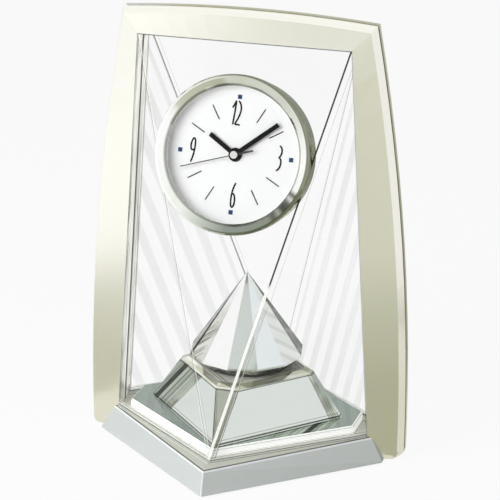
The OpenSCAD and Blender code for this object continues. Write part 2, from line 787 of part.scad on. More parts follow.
// Drive for the crystal
module battery_door() {
    color([0.20, 0.20, 0.20]) block([-door_half_l, cell_y - door_half_w, bottom_z - door_t - door_gap],
        [door_half_l, cell_y + door_half_w, bottom_z - door_gap]);
}

module battery_cell() {
    nub_r = cell_r * 0.36;
    nub_h = cell_r * 0.14;
    color([0.72, 0.60, 0.30]) translate([0, cell_y, cell_z]) rotate([0, 90, 0]) {
        pin(cell_r, -cell_len / 2, cell_len / 2 - nub_h);
        pin(nub_r, cell_len / 2 - nub_h, cell_len / 2);
    }
}

module battery_contacts() {
    color([0.75, 0.74, 0.70]) for (side = [-1, 1]) {
        block([side * (cell_len / 2 + contact_t / 2) - contact_t / 2, cell_y - cell_r / 2, bottom_top_z],
            [side * (cell_len / 2 + contact_t / 2) + contact_t / 2, cell_y + cell_r / 2, tray_top_z]);
    }
}

module switch_body() {
    color([0.15, 0.15, 0.16]) at(switch_place) difference() {
        block([-switch_l / 2, -switch_w / 2, bottom_top_z],
            [switch_l / 2, switch_w / 2, bottom_top_z + switch_h]);
        block([-(slider_l + slider_travel) / 2 - slide_gap, -slider_w / 2 - slide_gap, bottom_top_z - over],
            [(slider_l + slider_travel) / 2 + slide_gap, slider_w / 2 + slide_gap,
                bottom_top_z + switch_h / 2]);
    }
}

module switch_slider() {
    color([0.85, 0.85, 0.84]) translate([switch_place[0] - slider_travel / 2, switch_place[1], 0])
        block([-slider_l / 2, -slider_w / 2, slider_foot_z],
            [slider_l / 2, slider_w / 2, bottom_top_z + switch_h / 2 - slide_gap]);
}

module motor_plate() {
    color([0.25, 0.26, 0.27]) difference() {
        union() {
            hull() {
                for (place = post_places) at(place) pin(post_r, plate_z, plate_top_z, $fn = hull_fn);
                at([motor_x, motor_y]) pin(motor_r + over, plate_z, plate_top_z, $fn = hull_fn);
            }
            for (place = post_places) at(place) pin(post_r, bottom_top_z, plate_z);
        }
        pin(bush_r, plate_z - over, plate_top_z + over);
        at([motor_x, motor_y]) pin(motor_shaft_r + over, plate_z - over, plate_top_z + over);
        for (place = post_places) at(place) pin(self_tap_r, 0, bottom_top_z + boss_drop);
    }
}

module drive_motor() {
    color([0.70, 0.71, 0.72]) at([motor_x, motor_y]) difference() {
        pin(motor_r, plate_z - motor_len, plate_z);
        pin(motor_shaft_r + run_gap, plate_z - motor_len / 2, plate_z + over);
    }
}

module motor_pinion() {
    color([0.85, 0.83, 0.70]) at([motor_x, motor_y]) {
        pin(motor_shaft_r, plate_z - motor_len / 2 + run_gap, gear_z + gear_t + pinion_over);
        translate([0, 0, gear_z - pinion_over]) rotate([0, 0, motor_turn + 180])
            gear(pinion_teeth, drive_module, gear_t + 2 * pinion_over);
    }
}

module drive_gear() {
    color([0.92, 0.91, 0.86]) difference() {
        union() {
            translate([0, 0, gear_z]) rotate([0, 0, motor_turn + 180 / drive_teeth])
                gear(drive_teeth, drive_module, gear_t);
            pin(gear_hub_r, bush_top_z + run_gap, gear_hub_top_z);
        }
        pin(spindle_r, bush_top_z - over, gear_hub_top_z + over);
    }
}

module spindle() {
    color([0.75, 0.75, 0.75]) pin(spindle_r, spindle_foot_z, turntable_top_z);
}

module spindle_bush() {
    color([0.80, 0.66, 0.36]) difference() {
        union() {
            pin(bush_r, bush_foot_z, bush_top_z);
            pin(bush_flange_r, plate_top_z, plate_top_z + bush_flange_t);
        }
        pin(spindle_r + run_gap, bush_foot_z - over, bush_top_z + over);
    }
}

module turntable() {
    color([0.20, 0.22, 0.20]) ring(turntable_r, spindle_r, turntable_z, turntable_top_z);
}

module crystal() {
    girdle = crystal_foot_r * 0.04;
    turn = -2.7;
    color([0.90, 0.94, 0.93, 0.6]) rotate([0, 0, turn]) {
        translate([0, 0, turntable_top_z]) cylinder(r1 = crystal_foot_r, r2 = crystal_r,
            h = crystal_rim_z - girdle - turntable_top_z, $fn = crystal_facets);
        translate([0, 0, crystal_rim_z - girdle]) cylinder(r = crystal_r, h = girdle, $fn = crystal_facets);
        translate([0, 0, crystal_rim_z]) cylinder(r1 = crystal_r, r2 = 0,
            h = crystal_tip_z - crystal_rim_z, $fn = crystal_facets);
    }
}

// Drum clock
module drum_case() {
    color([0.72, 0.73, 0.68]) in_drum() {
        difference() {
            union() {
                ring(drum_r, drum_in_r, -drum_back, case_front_s);
                ring(drum_in_r + disc_gap, drum_in_r - ledge_w, movement_front_s - ledge_t,
                    movement_front_s);
                for (turn = [0:90:270]) rotate([0, 0, turn]) translate([cover_screw_ring_r, 0, 0])
                    pin(cover_boss_r, cover_s + cover_t, movement_front_s - ledge_t / 2);
            }
            for (turn = [0:90:270]) rotate([0, 0, turn]) translate([cover_screw_ring_r, 0, 0])
                pin(self_tap_r, cover_s, movement_back_s + movement_d / 2);
        }
    }
}

module bezel() {
    face_w = bezel_r - dial_view_r;
    lip_s = glass_top_s;
    rise = bezel_h - lip_s;
    color([0.86, 0.87, 0.85]) in_drum() rotate_extrude() polygon([
        [dial_view_r, lip_s],
        [dial_view_r, lip_s + rise * 0.15],
        [dial_view_r + face_w * 0.24, lip_s + rise * 0.70],
        [dial_view_r + face_w * 0.70, bezel_h],
        [dial_view_r + face_w * 0.86, bezel_h - rise * 0.12],
        [dial_view_r + face_w * 0.97, bezel_h - rise * 0.45],
        [bezel_r, bezel_h - rise * 0.82],
        [bezel_r, bezel_foot_s],
        [drum_r, bezel_foot_s],
        [drum_r, case_front_s + disc_gap],
        [drum_in_r - disc_gap, case_front_s + disc_gap],
        [drum_in_r - disc_gap, lip_s]]);
}

module dial_glass() {
    color([0.90, 0.95, 0.95, 0.3]) in_drum() pin(drum_in_r - 2 * disc_gap, glass_s, glass_top_s);
}

module dial_ring() {
    color([0.93, 0.93, 0.92]) in_drum() ring(drum_in_r - disc_gap, ring_view_r, dial_s, glass_s);
}

module dial_plate() {
    color([0.97, 0.97, 0.97]) in_drum()
        ring(drum_in_r - disc_gap, bushing_r + disc_gap, dial_s - dial_t, dial_s);
}

module dial_marks() {
    line_in_r = mark_ring_r * 0.675;
    line_out_r = mark_ring_r * 0.95;
    line_w = mark_side * 0.22;
    in_drum() for (hour = [0:11]) rotate([0, 0, -30 * hour]) {
        if (hour % 3 == 0)
            color([0.10, 0.30, 0.62]) block([-mark_side / 2, mark_ring_r - mark_side / 2, dial_s],
                [mark_side / 2, mark_ring_r + mark_side / 2, dial_s + mark_t]);
        else
            color([0.10, 0.10, 0.10]) block([-line_w / 2, line_in_r, dial_s],
                [line_w / 2, line_out_r, dial_s + mark_t]);
    }
}

// Numerals: each stroke is a Bezier curve in shares of the figure's height, drawn as a ribbon
figure_h = mark_ring_r * 0.4247;
figure_w = 0.55;
stroke_steps = 10;
// Places are [x, y] of the figure's middle, as shares of the ring of square marks
figure_place_shares = [[0, 0.715], [0.80, 0.01], [0.01, -0.70], [-0.77, 0.02]];
one_shares = [[[-0.27, 0.22], [-0.22, 0.30], [-0.18, 0.38], [-0.13, 0.5]],
    [[-0.13, 0.5], [-0.14, 0.2], [-0.19, -0.2], [-0.22, -0.46]]];
two_shares = [[[-0.02, 0.5], [0.18, 0.30], [0.10, -0.05], [-0.13, -0.44]],
    [[-0.13, -0.44], [-0.06, -0.50], [-0.02, -0.42], [0.08, -0.48]]];
three_shares = [[[-0.04, 0.5], [0.12, 0.42], [0.08, 0.12], [-0.05, 0.02]],
    [[-0.05, 0.02], [0.12, 0.0], [0.06, -0.44], [-0.12, -0.5]]];
six_shares = [[[0.10, 0.5], [-0.02, 0.28], [-0.06, 0.02], [-0.06, -0.25]],
    [[-0.06, -0.25], [-0.08, -0.58], [0.08, -0.58], [0.10, -0.22]],
    [[0.10, -0.22], [0.10, 0.02], [0.02, 0.10], [-0.03, 0.04]]];
nine_shares = [[[0.05, 0.02], [-0.06, -0.10], [-0.14, 0.10], [-0.06, 0.34]],
    [[-0.06, 0.34], [0.0, 0.56], [0.10, 0.50], [0.09, 0.24]],
    [[0.09, 0.24], [0.08, 0.0], [0.04, -0.26], [-0.06, -0.5]]];
step_share = 0.01;

function bezier(c, t) = let (s = 1 - t)
    s * s * s * c[0] + 3 * t * s * s * c[1] + 3 * t * t * s * c[2] + t * t * t * c[3];
function across(c, t) =
    let (d = bezier(c, min(t + step_share, 1)) - bezier(c, max(t - step_share, 0)))
    [-d[1], d[0]] / norm(d);
module stroke(shares) {
    curve = [for (i = [0:stroke_steps]) bezier(shares * figure_h, i / stroke_steps)];
    side = [for (i = [0:stroke_steps]) across(shares * figure_h, i / stroke_steps) * figure_w / 2];
    linear_extrude(height = mark_t) polygon(concat(curve + side, reversed(curve - side)));
}

module dial_numerals() {
    figures = [concat(one_shares, two_shares), three_shares, six_shares, nine_shares];
    color([0.10, 0.10, 0.10]) in_drum() for (i = [0:3])
        translate([figure_place_shares[i][0] * mark_ring_r, figure_place_shares[i][1] * mark_ring_r,
            dial_s])
            for (shares = figures[i]) stroke(shares);
}

module hand(length, width, hub_r, bore_r, s) {
    difference() {
        union() {
            pin(hub_r, s, s + hand_t);
            block([-width / 2, 0, s], [width / 2, length, s + hand_t]);
        }
        pin(bore_r, s - over, s + hand_t + over);
    }
}

module hour_hand() {
    color([0.04, 0.04, 0.04]) in_drum() rotate([0, 0, -hour_angle])
        hand(hour_len, hand_w, hour_hub_r, hour_r, hour_hand_s);
}

module minute_hand() {
    color([0.04, 0.04, 0.04]) in_drum() rotate([0, 0, -minute_angle])
        hand(minute_len, hand_w, minute_hub_r, minute_r, minute_hand_s);
}

module second_hand() {
    color([0.45, 0.45, 0.45]) in_drum() rotate([0, 0, -second_angle]) difference() {
        union() {
            pin(second_hub_r, second_hand_s, boss_top_s);
            block([-second_w / 2, 0, second_hand_s], [second_w / 2, second_len, second_hand_s + second_t]);
            block([-second_tail_w / 2, -second_tail, second_hand_s],
                [second_tail_w / 2, 0, second_hand_s + second_t]);
        }
        pin(second_r, second_hand_s - over, boss_top_s - second_t);
    }
}

module hour_wheel() {
    color([0.90, 0.86, 0.70]) in_drum() difference() {
        union() {
            translate([0, 0, hour_wheel_s]) rotate([0, 0, knob_turn + 180 / hour_teeth])
                gear(hour_teeth, hour_module, hour_wheel_t);
            pin(hour_r, hour_wheel_s, hour_hand_s + hand_t);
        }
        pin(hour_in_r, hour_wheel_s - over, hour_hand_s + hand_t + over);
    }
}

module cannon_pinion() {
    color([0.80, 0.66, 0.36]) in_drum() difference() {
        union() {
            translate([0, 0, cannon_s]) rotate([0, 0, knob_turn])
                gear(cannon_teeth, motion_module, cannon_t);
            pin(minute_r, cannon_s, minute_hand_s + hand_t);
        }
        pin(minute_in_r, cannon_s - over, minute_hand_s + hand_t + over);
    }
}

module second_arbor() {
    color([0.75, 0.75, 0.75]) in_drum() {
        pin(second_r, movement_back_s + movement_wall / 2, boss_top_s - second_t);
        pin(second_wheel_r, second_wheel_s, second_wheel_s + second_wheel_t);
    }
}

module at_knob() {
    translate([knob_distance * cos(knob_turn), knob_distance * sin(knob_turn), 0]) children();
}

module minute_wheel() {
    color([0.92, 0.91, 0.86]) in_drum() at_knob() {
        pin(knob_shaft_r, knob_s, movement_front_s - movement_wall / 2);
        translate([0, 0, cannon_s]) rotate([0, 0, knob_turn + 180 + 180 / wheel_teeth])
            gear(wheel_teeth, motion_module, hour_wheel_t);
        translate([0, 0, hour_wheel_s - disc_gap]) rotate([0, 0, knob_turn + 180])
            gear(leaf_teeth, hour_module, hour_wheel_t + 2 * disc_gap);
    }
}

module setting_knob() {
    ridge_r = knob_r * 0.09;
    ridges = 18;
    color([0.15, 0.15, 0.15]) in_drum() at_knob() difference() {
        pin(knob_r, knob_s, knob_s + knob_h);
        pin(knob_shaft_r, knob_s - over, knob_s + knob_h + over);
        for (i = [0:ridges - 1]) rotate([0, 0, i * 360 / ridges]) translate([knob_r, 0, 0])
            pin(ridge_r, knob_s - over, knob_s + knob_h + over, $fn = 12);
    }
}

module rounded_square(half) {
    hull() for (x = [-1, 1]) for (y = [-1, 1])
        translate([x * (half - movement_corner_r), y * (half - movement_corner_r)])
            circle(r = movement_corner_r, $fn = hull_fn);
}

module movement_front() {
    color([0.12, 0.12, 0.13]) in_drum() difference() {
        union() {
            translate([0, 0, movement_back_s + movement_wall])
                linear_extrude(height = movement_d - movement_wall) rounded_square(movement_w / 2);
            pin(bushing_r, movement_front_s, bushing_top_s);
        }
        translate([0, 0, movement_back_s - over]) linear_extrude(height = movement_d - movement_wall + over)
            rounded_square(movement_w / 2 - movement_wall);
        pin(bushing_in_r, movement_front_s - movement_wall - over, bushing_top_s + over);
        at_knob() pin(knob_shaft_r + run_gap, movement_front_s - movement_wall - over,
            movement_front_s + over);
    }
}

module movement_back() {
    color([0.12, 0.12, 0.13]) in_drum() difference() {
        translate([0, 0, movement_back_s]) linear_extrude(height = movement_wall)
            rounded_square(movement_w / 2);
        pin(second_r + run_gap, movement_back_s - over, movement_back_s + movement_wall + over);
        at_knob() pin(knob_shaft_r + run_gap, movement_back_s - over,
            movement_back_s + movement_wall + over);
    }
}

module circuit_board() {
    board_t = 0.8;
    color([0.10, 0.35, 0.18]) in_drum()
        block([-movement_w * 0.42, -movement_w * 0.44, movement_back_s + movement_wall],
            [movement_w * 0.12, -movement_w * 0.18, movement_back_s + movement_wall + board_t]);
}

module stepping_coil() {
    coil_r = movement_d * 0.22;
    coil_half = movement_w * 0.2;
    color([0.72, 0.38, 0.16]) in_drum()
        translate([movement_w * 0.34, -movement_w * 0.06, movement_back_s + movement_wall + coil_r])
            rotate([90, 0, 0]) pin(coil_r, -coil_half, coil_half);
}

module movement_cell() {
    nub_r = small_cell_r * 0.36;
    nub_h = small_cell_r * 0.15;
    color([0.72, 0.60, 0.30]) in_drum() translate([0, small_cell_y, small_cell_s]) rotate([0, 90, 0]) {
        pin(small_cell_r, -small_cell_len / 2, small_cell_len / 2 - nub_h);
        pin(nub_r, small_cell_len / 2 - nub_h, small_cell_len / 2);
    }
}

module back_cover() {
    rail_s = box_s - hatch_t - 2 * door_gap - lip_t;
    hatch_rail_x = box_half_l - box_wall / 2;
    color([0.16, 0.16, 0.17]) in_drum() difference() {
        union() {
            pin(drum_in_r - disc_gap, cover_s, cover_s + cover_t);
            block([-box_half_l, small_cell_y - box_half_w, box_s],
                [box_half_l, small_cell_y + box_half_w, cover_s]);
            for (side = [-1, 1]) {
                block([side * hatch_rail_x - box_wall / 2, small_cell_y - box_half_w, rail_s],
                    [side * hatch_rail_x + box_wall / 2, small_cell_y + box_half_w, box_s]);
                block([side * (hatch_rail_x - box_wall) - box_wall / 2, small_cell_y - box_half_w, rail_s],
                    [side * (hatch_rail_x - box_wall) + box_wall / 2, small_cell_y + box_half_w,
                        rail_s + lip_t]);
            }
        }
        block([-box_half_l + box_wall, small_cell_y - box_half_w + box_wall, box_s - over],
            [box_half_l - box_wall, small_cell_y + box_half_w - box_wall, cover_s + cover_t + over]);
        at_knob() pin(knob_shaft_r + fit_gap, cover_s - over, cover_s + cover_t + over);
        for (turn = [0:90:270]) rotate([0, 0, turn]) translate([cover_screw_ring_r, 0, 0])
            pin(self_tap_r + fit_gap, cover_s - over, cover_s + cover_t + over);
    }
}

module back_cover_screws() {
    head_r = self_tap_r * 1.8;
    head_h = cover_t * 0.7;
    color([0.55, 0.55, 0.53]) in_drum() for (turn = [0:90:270]) rotate([0, 0, turn])
        translate([cover_screw_ring_r, 0, 0]) {
        pin(head_r, cover_s - head_h, cover_s);
        pin(self_tap_r, cover_s, movement_back_s + cover_t);
    }
}

module movement_hatch() {
    color([0.16, 0.16, 0.17]) in_drum()
        block([-hatch_half_l + slide_gap, small_cell_y - box_half_w, box_s - hatch_t - door_gap],
            [hatch_half_l - slide_gap, small_cell_y + box_half_w, box_s - door_gap]);
}

base_shell();
base_bottom_plate();
base_screws();
rubber_feet();
glass_seat();
floor_plate();
pedestal();
battery_door();
battery_cell();
battery_contacts();
switch_body();
switch_slider();
motor_plate();
drive_motor();
motor_pinion();
drive_gear();
spindle();
spindle_bush();
turntable();
crystal();
front_frame();
parting_strip();
rear_frame();
frame_screws();
leg_screws();
front_centre_pane();
front_left_pane();
front_right_pane();
rear_centre_pane();
rear_left_pane();
rear_right_pane();
hole_sleeve();
drum_case();
bezel();
dial_glass();
dial_ring();
dial_plate();
dial_marks();
dial_numerals();
hour_hand();
hour_wheel();
minute_hand();
cannon_pinion();
second_hand();
second_arbor();
minute_wheel();
setting_knob();
movement_front();
movement_back();
circuit_board();
stepping_coil();
movement_cell();
back_cover();
back_cover_screws();
movement_hatch();
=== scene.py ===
import json
import math

import bpy
from mathutils import Matrix, Vector

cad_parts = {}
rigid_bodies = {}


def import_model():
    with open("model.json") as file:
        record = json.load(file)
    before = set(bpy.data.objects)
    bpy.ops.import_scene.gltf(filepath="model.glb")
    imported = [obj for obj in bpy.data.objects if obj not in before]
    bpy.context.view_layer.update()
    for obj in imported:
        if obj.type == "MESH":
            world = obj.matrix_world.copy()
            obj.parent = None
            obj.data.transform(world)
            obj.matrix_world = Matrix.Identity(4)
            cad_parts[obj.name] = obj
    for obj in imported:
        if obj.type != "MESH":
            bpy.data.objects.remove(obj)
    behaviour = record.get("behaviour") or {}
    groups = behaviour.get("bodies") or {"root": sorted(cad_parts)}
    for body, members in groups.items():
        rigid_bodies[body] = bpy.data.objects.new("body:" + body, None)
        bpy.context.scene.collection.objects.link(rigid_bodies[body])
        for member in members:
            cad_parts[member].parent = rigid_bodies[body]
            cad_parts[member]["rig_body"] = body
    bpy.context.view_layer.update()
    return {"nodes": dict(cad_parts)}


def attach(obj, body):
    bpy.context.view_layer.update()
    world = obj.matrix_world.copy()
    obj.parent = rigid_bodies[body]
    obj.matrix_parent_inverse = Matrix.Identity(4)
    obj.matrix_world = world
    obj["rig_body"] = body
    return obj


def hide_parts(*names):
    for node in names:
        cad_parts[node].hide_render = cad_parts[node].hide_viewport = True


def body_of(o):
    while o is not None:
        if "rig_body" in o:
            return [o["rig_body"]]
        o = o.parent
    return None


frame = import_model()
NODES = frame["nodes"]

MM = 0.001

# Places shared with the CAD model, in millimetres
HALF_DEPTH = 9.4
CASE_TOP_Z = 220.0
CASE_FOOT_Z = 14.6
TOP_HALF_W = 56.3
FOOT_HALF_W = 68.4
CASE_REACH = 66.1
BASE_TOP_Z = 13.7
FLOOR_Z = 19.0
SHOULDER_Z = 42.0
BEZEL_R = 40.6
PANE_TILT = math.atan((CASE_REACH - HALF_DEPTH) / (CASE_TOP_Z - CASE_FOOT_Z))
DRUM_Z = 165.4
DRUM_Y = -HALF_DEPTH - (CASE_TOP_Z - DRUM_Z) * math.tan(PANE_TILT)

# Front corners of the glass case; the rear ones are their mirror images
TOP_LEFT = Vector((-TOP_HALF_W, -HALF_DEPTH, CASE_TOP_Z))
TOP_RIGHT = Vector((TOP_HALF_W, -HALF_DEPTH, CASE_TOP_Z))
FOOT_LEFT = Vector((-FOOT_HALF_W, -HALF_DEPTH, CASE_FOOT_Z))
FOOT_RIGHT = Vector((FOOT_HALF_W, -HALF_DEPTH, CASE_FOOT_Z))
FRONT_FOOT = Vector((0, -CASE_REACH, CASE_FOOT_Z))


def rear(point):
    """The mirror image of a front corner, behind."""
    return Vector((point.x, -point.y, point.z))


def tone(r, g, b):
    """The linear colour of one given in screen values from 0 to 255."""
    return tuple(v / 3294.6 if v <= 10.3 else ((v / 255 + 0.055) / 1.055) ** 2.4 for v in (r, g, b))


def scaled(color, by):
    """The colour made lighter or darker."""
    return tuple(min(c * by, 1.0) for c in color)


class Num:
    """A number in a tree, on which plain arithmetic adds Math nodes."""

    def __init__(self, tree, socket):
        self.tree = tree
        self.socket = socket

    def math(self, operation, *values):
        n = self.tree.nodes.new("ShaderNodeMath")
        n.operation = operation
        for i, v in enumerate(values):
            if isinstance(v, Num):
                self.tree.links.new(v.socket, n.inputs[i])
            else:
                n.inputs[i].default_value = v
        return Num(self.tree, n.outputs[0])

    def __add__(self, o):
        return self.math("ADD", self, o)

    __radd__ = __add__

    def __sub__(self, o):
        return self.math("SUBTRACT", self, o)

    def __rsub__(self, o):
        return self.math("SUBTRACT", o, self)

    def __mul__(self, o):
        return self.math("MULTIPLY", self, o)

    __rmul__ = __mul__

    def __truediv__(self, o):
        return self.math("DIVIDE", self, o)

    def __neg__(self):
        return self.math("MULTIPLY", self, -1.0)

    def __abs__(self):
        return self.math("ABSOLUTE", self)

    def root(self):
        return self.math("SQRT", self)

    def fract(self):
        return self.math("FRACT", self)

    def angle(self, across):
        return self.math("ARCTAN2", self, across)

    def min(self, o):
        return self.math("MINIMUM", self, o)

    def max(self, o):
        return self.math("MAXIMUM", self, o)

    def above(self, o):
        return self.math("GREATER_THAN", self, o)

    def below(self, o):
        return self.math("LESS_THAN", self, o)

    def rise(self, start, end, low=0.0, high=1.0):
        """low up to start, high from end, and a smooth way between."""
        n = self.tree.nodes.new("ShaderNodeMapRange")
        n.interpolation_type = "SMOOTHSTEP"
        self.tree.links.new(self.socket, n.inputs["Value"])
        for name, v in (("From Min", start), ("From Max", end), ("To Min", low), ("To Max", high)):
            n.inputs[name].default_value = v
        return Num(self.tree, n.outputs["Result"])

    def band(self, start, end, soft=0.15):
        """1 between start and end, 0 elsewhere, with soft edges."""
        return self.rise(start - soft, start + soft) * self.rise(end - soft, end + soft, 1.0, 0.0)

    def around(self, middle, spread):
        """Noise round 0.5 made into a number round the middle."""
        return self * spread + (middle - spread / 2)

    def lines(self, *rows):
        """The strongest of some bands, each with its start, end, softness and strength."""
        marks = [self.band(*row[:3]) * row[3] for row in rows]
        strongest = marks[0]
        for mark in marks[1:]:
            strongest = strongest.max(mark)
        return strongest


class Graph:
    """A node tree that is filled node by node."""

    def put(self, socket, v):
        """Links a value to a socket, or writes it there where it is plain."""
        if isinstance(v, Num):
            self.tree.links.new(v.socket, socket)
        elif isinstance(v, bpy.types.NodeSocket):
            self.tree.links.new(v, socket)
        elif isinstance(v, bpy.types.Node):
            self.tree.links.new(v.outputs[0], socket)
        elif isinstance(v, tuple) and len(v) == 3 and len(socket.default_value) == 4:
            socket.default_value = (*v, 1.0)
        else:
            socket.default_value = v

    def node(self, kind, settings=None, inputs=None):
        """A node of a kind, its settings first and then what its sockets get."""
        n = self.tree.nodes.new(kind)
        for name, v in (settings or {}).items():
            if name == "stops":
                ramp = n.color_ramp
                while len(ramp.elements) < len(v):
                    ramp.elements.new(1.0)
                for element, (at, color) in zip(ramp.elements, v):
                    element.position = at
                    element.color = (*color, 1.0)
            elif name == "steps":
                n.color_ramp.interpolation = v
            else:
                setattr(n, name, v)
        for name, v in (inputs or {}).items():
            self.put(n.inputs[name], v)
        return n

    def num(self, socket):
        return Num(self.tree, socket)

    def parts(self, socket):
        """The three numbers of a vector."""
        n = self.node("ShaderNodeSeparateXYZ", {}, {0: socket})
        return tuple(self.num(n.outputs[i]) for i in range(3))


class Shader(Graph):
    """The tree of one material or of the world, and the places that its looks are worked out from."""

    def __init__(self, name, owner=None):
        self.mat = owner or bpy.data.materials.new(name)
        self.mat.use_nodes = True
        self.tree = self.mat.node_tree
        self.tree.nodes.clear()
        self.places = None

    def coords(self):
        if self.places is None:
            self.places = self.node("ShaderNodeTexCoord")
        return self.places

    def place(self):
        """The point's place on the piece at rest, in millimetres."""
        return tuple(v * (1 / MM) for v in self.parts(self.coords().outputs["Object"]))

    def normal(self):
        """The face's direction on the piece at rest."""
        return self.parts(self.coords().outputs["Normal"])

    def noise(self, scale, detail=2.0, rough=0.5, stretch=(1, 1, 1)):
        """Noise round 0.5, with scale in features a metre."""
        at = self.node("ShaderNodeMapping", {}, {"Vector": self.coords().outputs["Object"], "Scale": stretch})
        return self.num(self.node("ShaderNodeTexNoise", {}, {
            "Vector": at, "Scale": scale, "Detail": detail, "Roughness": rough}).outputs[0])

    def mix(self, a, b, share):
        """Colour a where share is 0 and b where it is 1."""
        n = self.node("ShaderNodeMix", {"data_type": "RGBA"}, {0: share, 6: a, 7: b})
        return n.outputs[2]

    def ramp(self, value, stops, steps="LINEAR"):
        """A colour read off a row of stops, each a place from 0 to 1 and a colour."""
        return self.node("ShaderNodeValToRGB", {"steps": steps, "stops": stops}, {0: value}).outputs[0]

    def blend(self, a, b, share):
        """Shader a where share is 0 and b where it is 1."""
        return self.node("ShaderNodeMixShader", {}, {0: share, 1: a, 2: b})

    def surface(self, color, rough=0.5, metal=0.0, more=None):
        return self.node("ShaderNodeBsdfPrincipled", {}, {
            "Base Color": color, "Roughness": rough, "Metallic": metal, **(more or {})})

    def bumped(self, surface, height, strength, distance):
        """Gives the surface a fine relief, distance metres deep."""
        n = self.node("ShaderNodeBump", {}, {"Strength": strength, "Distance": distance, "Height": height})
        self.put(surface.inputs["Normal"], n)

    def done(self, surface, output="ShaderNodeOutputMaterial"):
        self.node(output, {}, {"Surface": surface})
        return self.mat


class Shape(Graph):
    """A Geometry Nodes tree that puts a form on each marked point, with its sizes as named inputs."""

    def __init__(self, name, *sizes):
        self.tree = bpy.data.node_groups.new(name, "GeometryNodeTree")
        socket = self.tree.interface.new_socket
        socket("Geometry", in_out="OUTPUT", socket_type="NodeSocketGeometry")
        socket("Geometry", in_out="INPUT", socket_type="NodeSocketGeometry")
        kinds = {"Material": "NodeSocketMaterial", "Count": "NodeSocketInt"}
        self.keys = {}
        for name in ("Material", *sizes):
            kind = kinds.get(name, "NodeSocketFloat")
            self.keys[name] = socket(name, in_out="INPUT", socket_type=kind).identifier
        self.given = self.node("NodeGroupInput")

    def size(self, name):
        return self.num(self.given.outputs[name])

    def vector(self, x=0.0, y=0.0, z=0.0):
        return self.node("ShaderNodeCombineXYZ", {}, {"X": x, "Y": y, "Z": z})

    def lifted(self, shape, z):
        return self.node("GeometryNodeTransform", {}, {"Geometry": shape, "Translation": self.vector(z=z)})

    def on_points(self, points, shape, turn=None):
        return self.node("GeometryNodeInstanceOnPoints", {}, {
            "Points": points, "Instance": shape, **({"Rotation": turn} if turn else {})})

    def joined(self, *shapes):
        n = self.node("GeometryNodeJoinGeometry")
        for shape in reversed(shapes):
            self.put(n.inputs[0], shape)
        return n

    def finished(self, shape):
        """Ends the tree: the shape on every mark, turned the way that the mark faces."""
        given = self.given.outputs
        way = self.node("GeometryNodeInputNamedAttribute", {"data_type": "FLOAT_VECTOR"}, {"Name": "facing"})
        turn = self.node("FunctionNodeAlignRotationToVector", {"axis": "Z"}, {"Vector": way})
        real = self.node("GeometryNodeRealizeInstances", {}, {
            "Geometry": self.on_points(given["Geometry"], shape, turn)})
        skin = self.node("GeometryNodeSetMaterial", {}, {"Geometry": real, "Material": given["Material"]})
        self.node("NodeGroupOutput", {}, {0: skin})
        return self

    def made(self, name, marks, material, **sizes):
        """The plain mesh made at the marks, each a point in millimetres and the way that it faces."""
        host = bpy.data.meshes.new(name + "_marks")
        host.from_pydata([Vector(p) * MM for p, facing in marks], [], [])
        ways = host.attributes.new("facing", "FLOAT_VECTOR", "POINT")
        for entry, (p, facing) in zip(ways.data, marks):
            entry.vector = facing
        o = bpy.data.objects.new(name + "_marks", host)
        bpy.context.scene.collection.objects.link(o)
        m = o.modifiers.new("shape", "NODES")
        m.node_group = self.tree
        m[self.keys["Material"]] = material
        for size, v in sizes.items():
            m[self.keys[size]] = v if size == "Count" else v * MM
        seen = bpy.context.evaluated_depsgraph_get()
        mesh = bpy.data.meshes.new_from_object(o.evaluated_get(seen), depsgraph=seen)
        mesh.name = name
        bpy.data.objects.remove(o)
        piece = bpy.data.objects.new(name, mesh)
        bpy.context.scene.collection.objects.link(piece)
        return piece


# Sizes of fine noise, in features a metre, and the depth of a fine relief, in metres
MOULD_GRAIN = 1800.0
METAL_GRAIN = 2600.0
PAINT_FLAKE = 3200.0
BASE_FLAKE = 3000.0
FINE_DEPTH = 0.0001

WHITE = (1.0, 1.0, 1.0)
NO_GLOW = (0.0, 0.0, 0.0)


def moulded(name, color, rough=0.5, grain=0.0, spread=0.06, shine=0.5):
    """Moulded plastic or rubber: a tone that varies a little, and a fine grain."""
    s = Shader(name)
    shade = s.mix(scaled(color, 1 - spread), scaled(color, 1 + spread), s.noise(60.0, 3.0))
    fine = s.noise(MOULD_GRAIN)
    p = s.surface(shade, fine.around(rough, 0.10), 0.0, {"Specular IOR Level": shine})
    if grain:
        s.bumped(p, fine, grain, FINE_DEPTH * 2)
    return s.done(p)


def turned(name, color, rough=0.25, spread=0.06):
    """Bare machined metal."""
    s = Shader(name)
    shade = s.mix(scaled(color, 1 - spread), scaled(color, 1 + spread), s.noise(90.0, 3.0))
    fine = s.noise(METAL_GRAIN)
    p = s.surface(shade, fine.around(rough, 0.12), 1.0)
    s.bumped(p, fine, 0.1, FINE_DEPTH)
    return s.done(p)


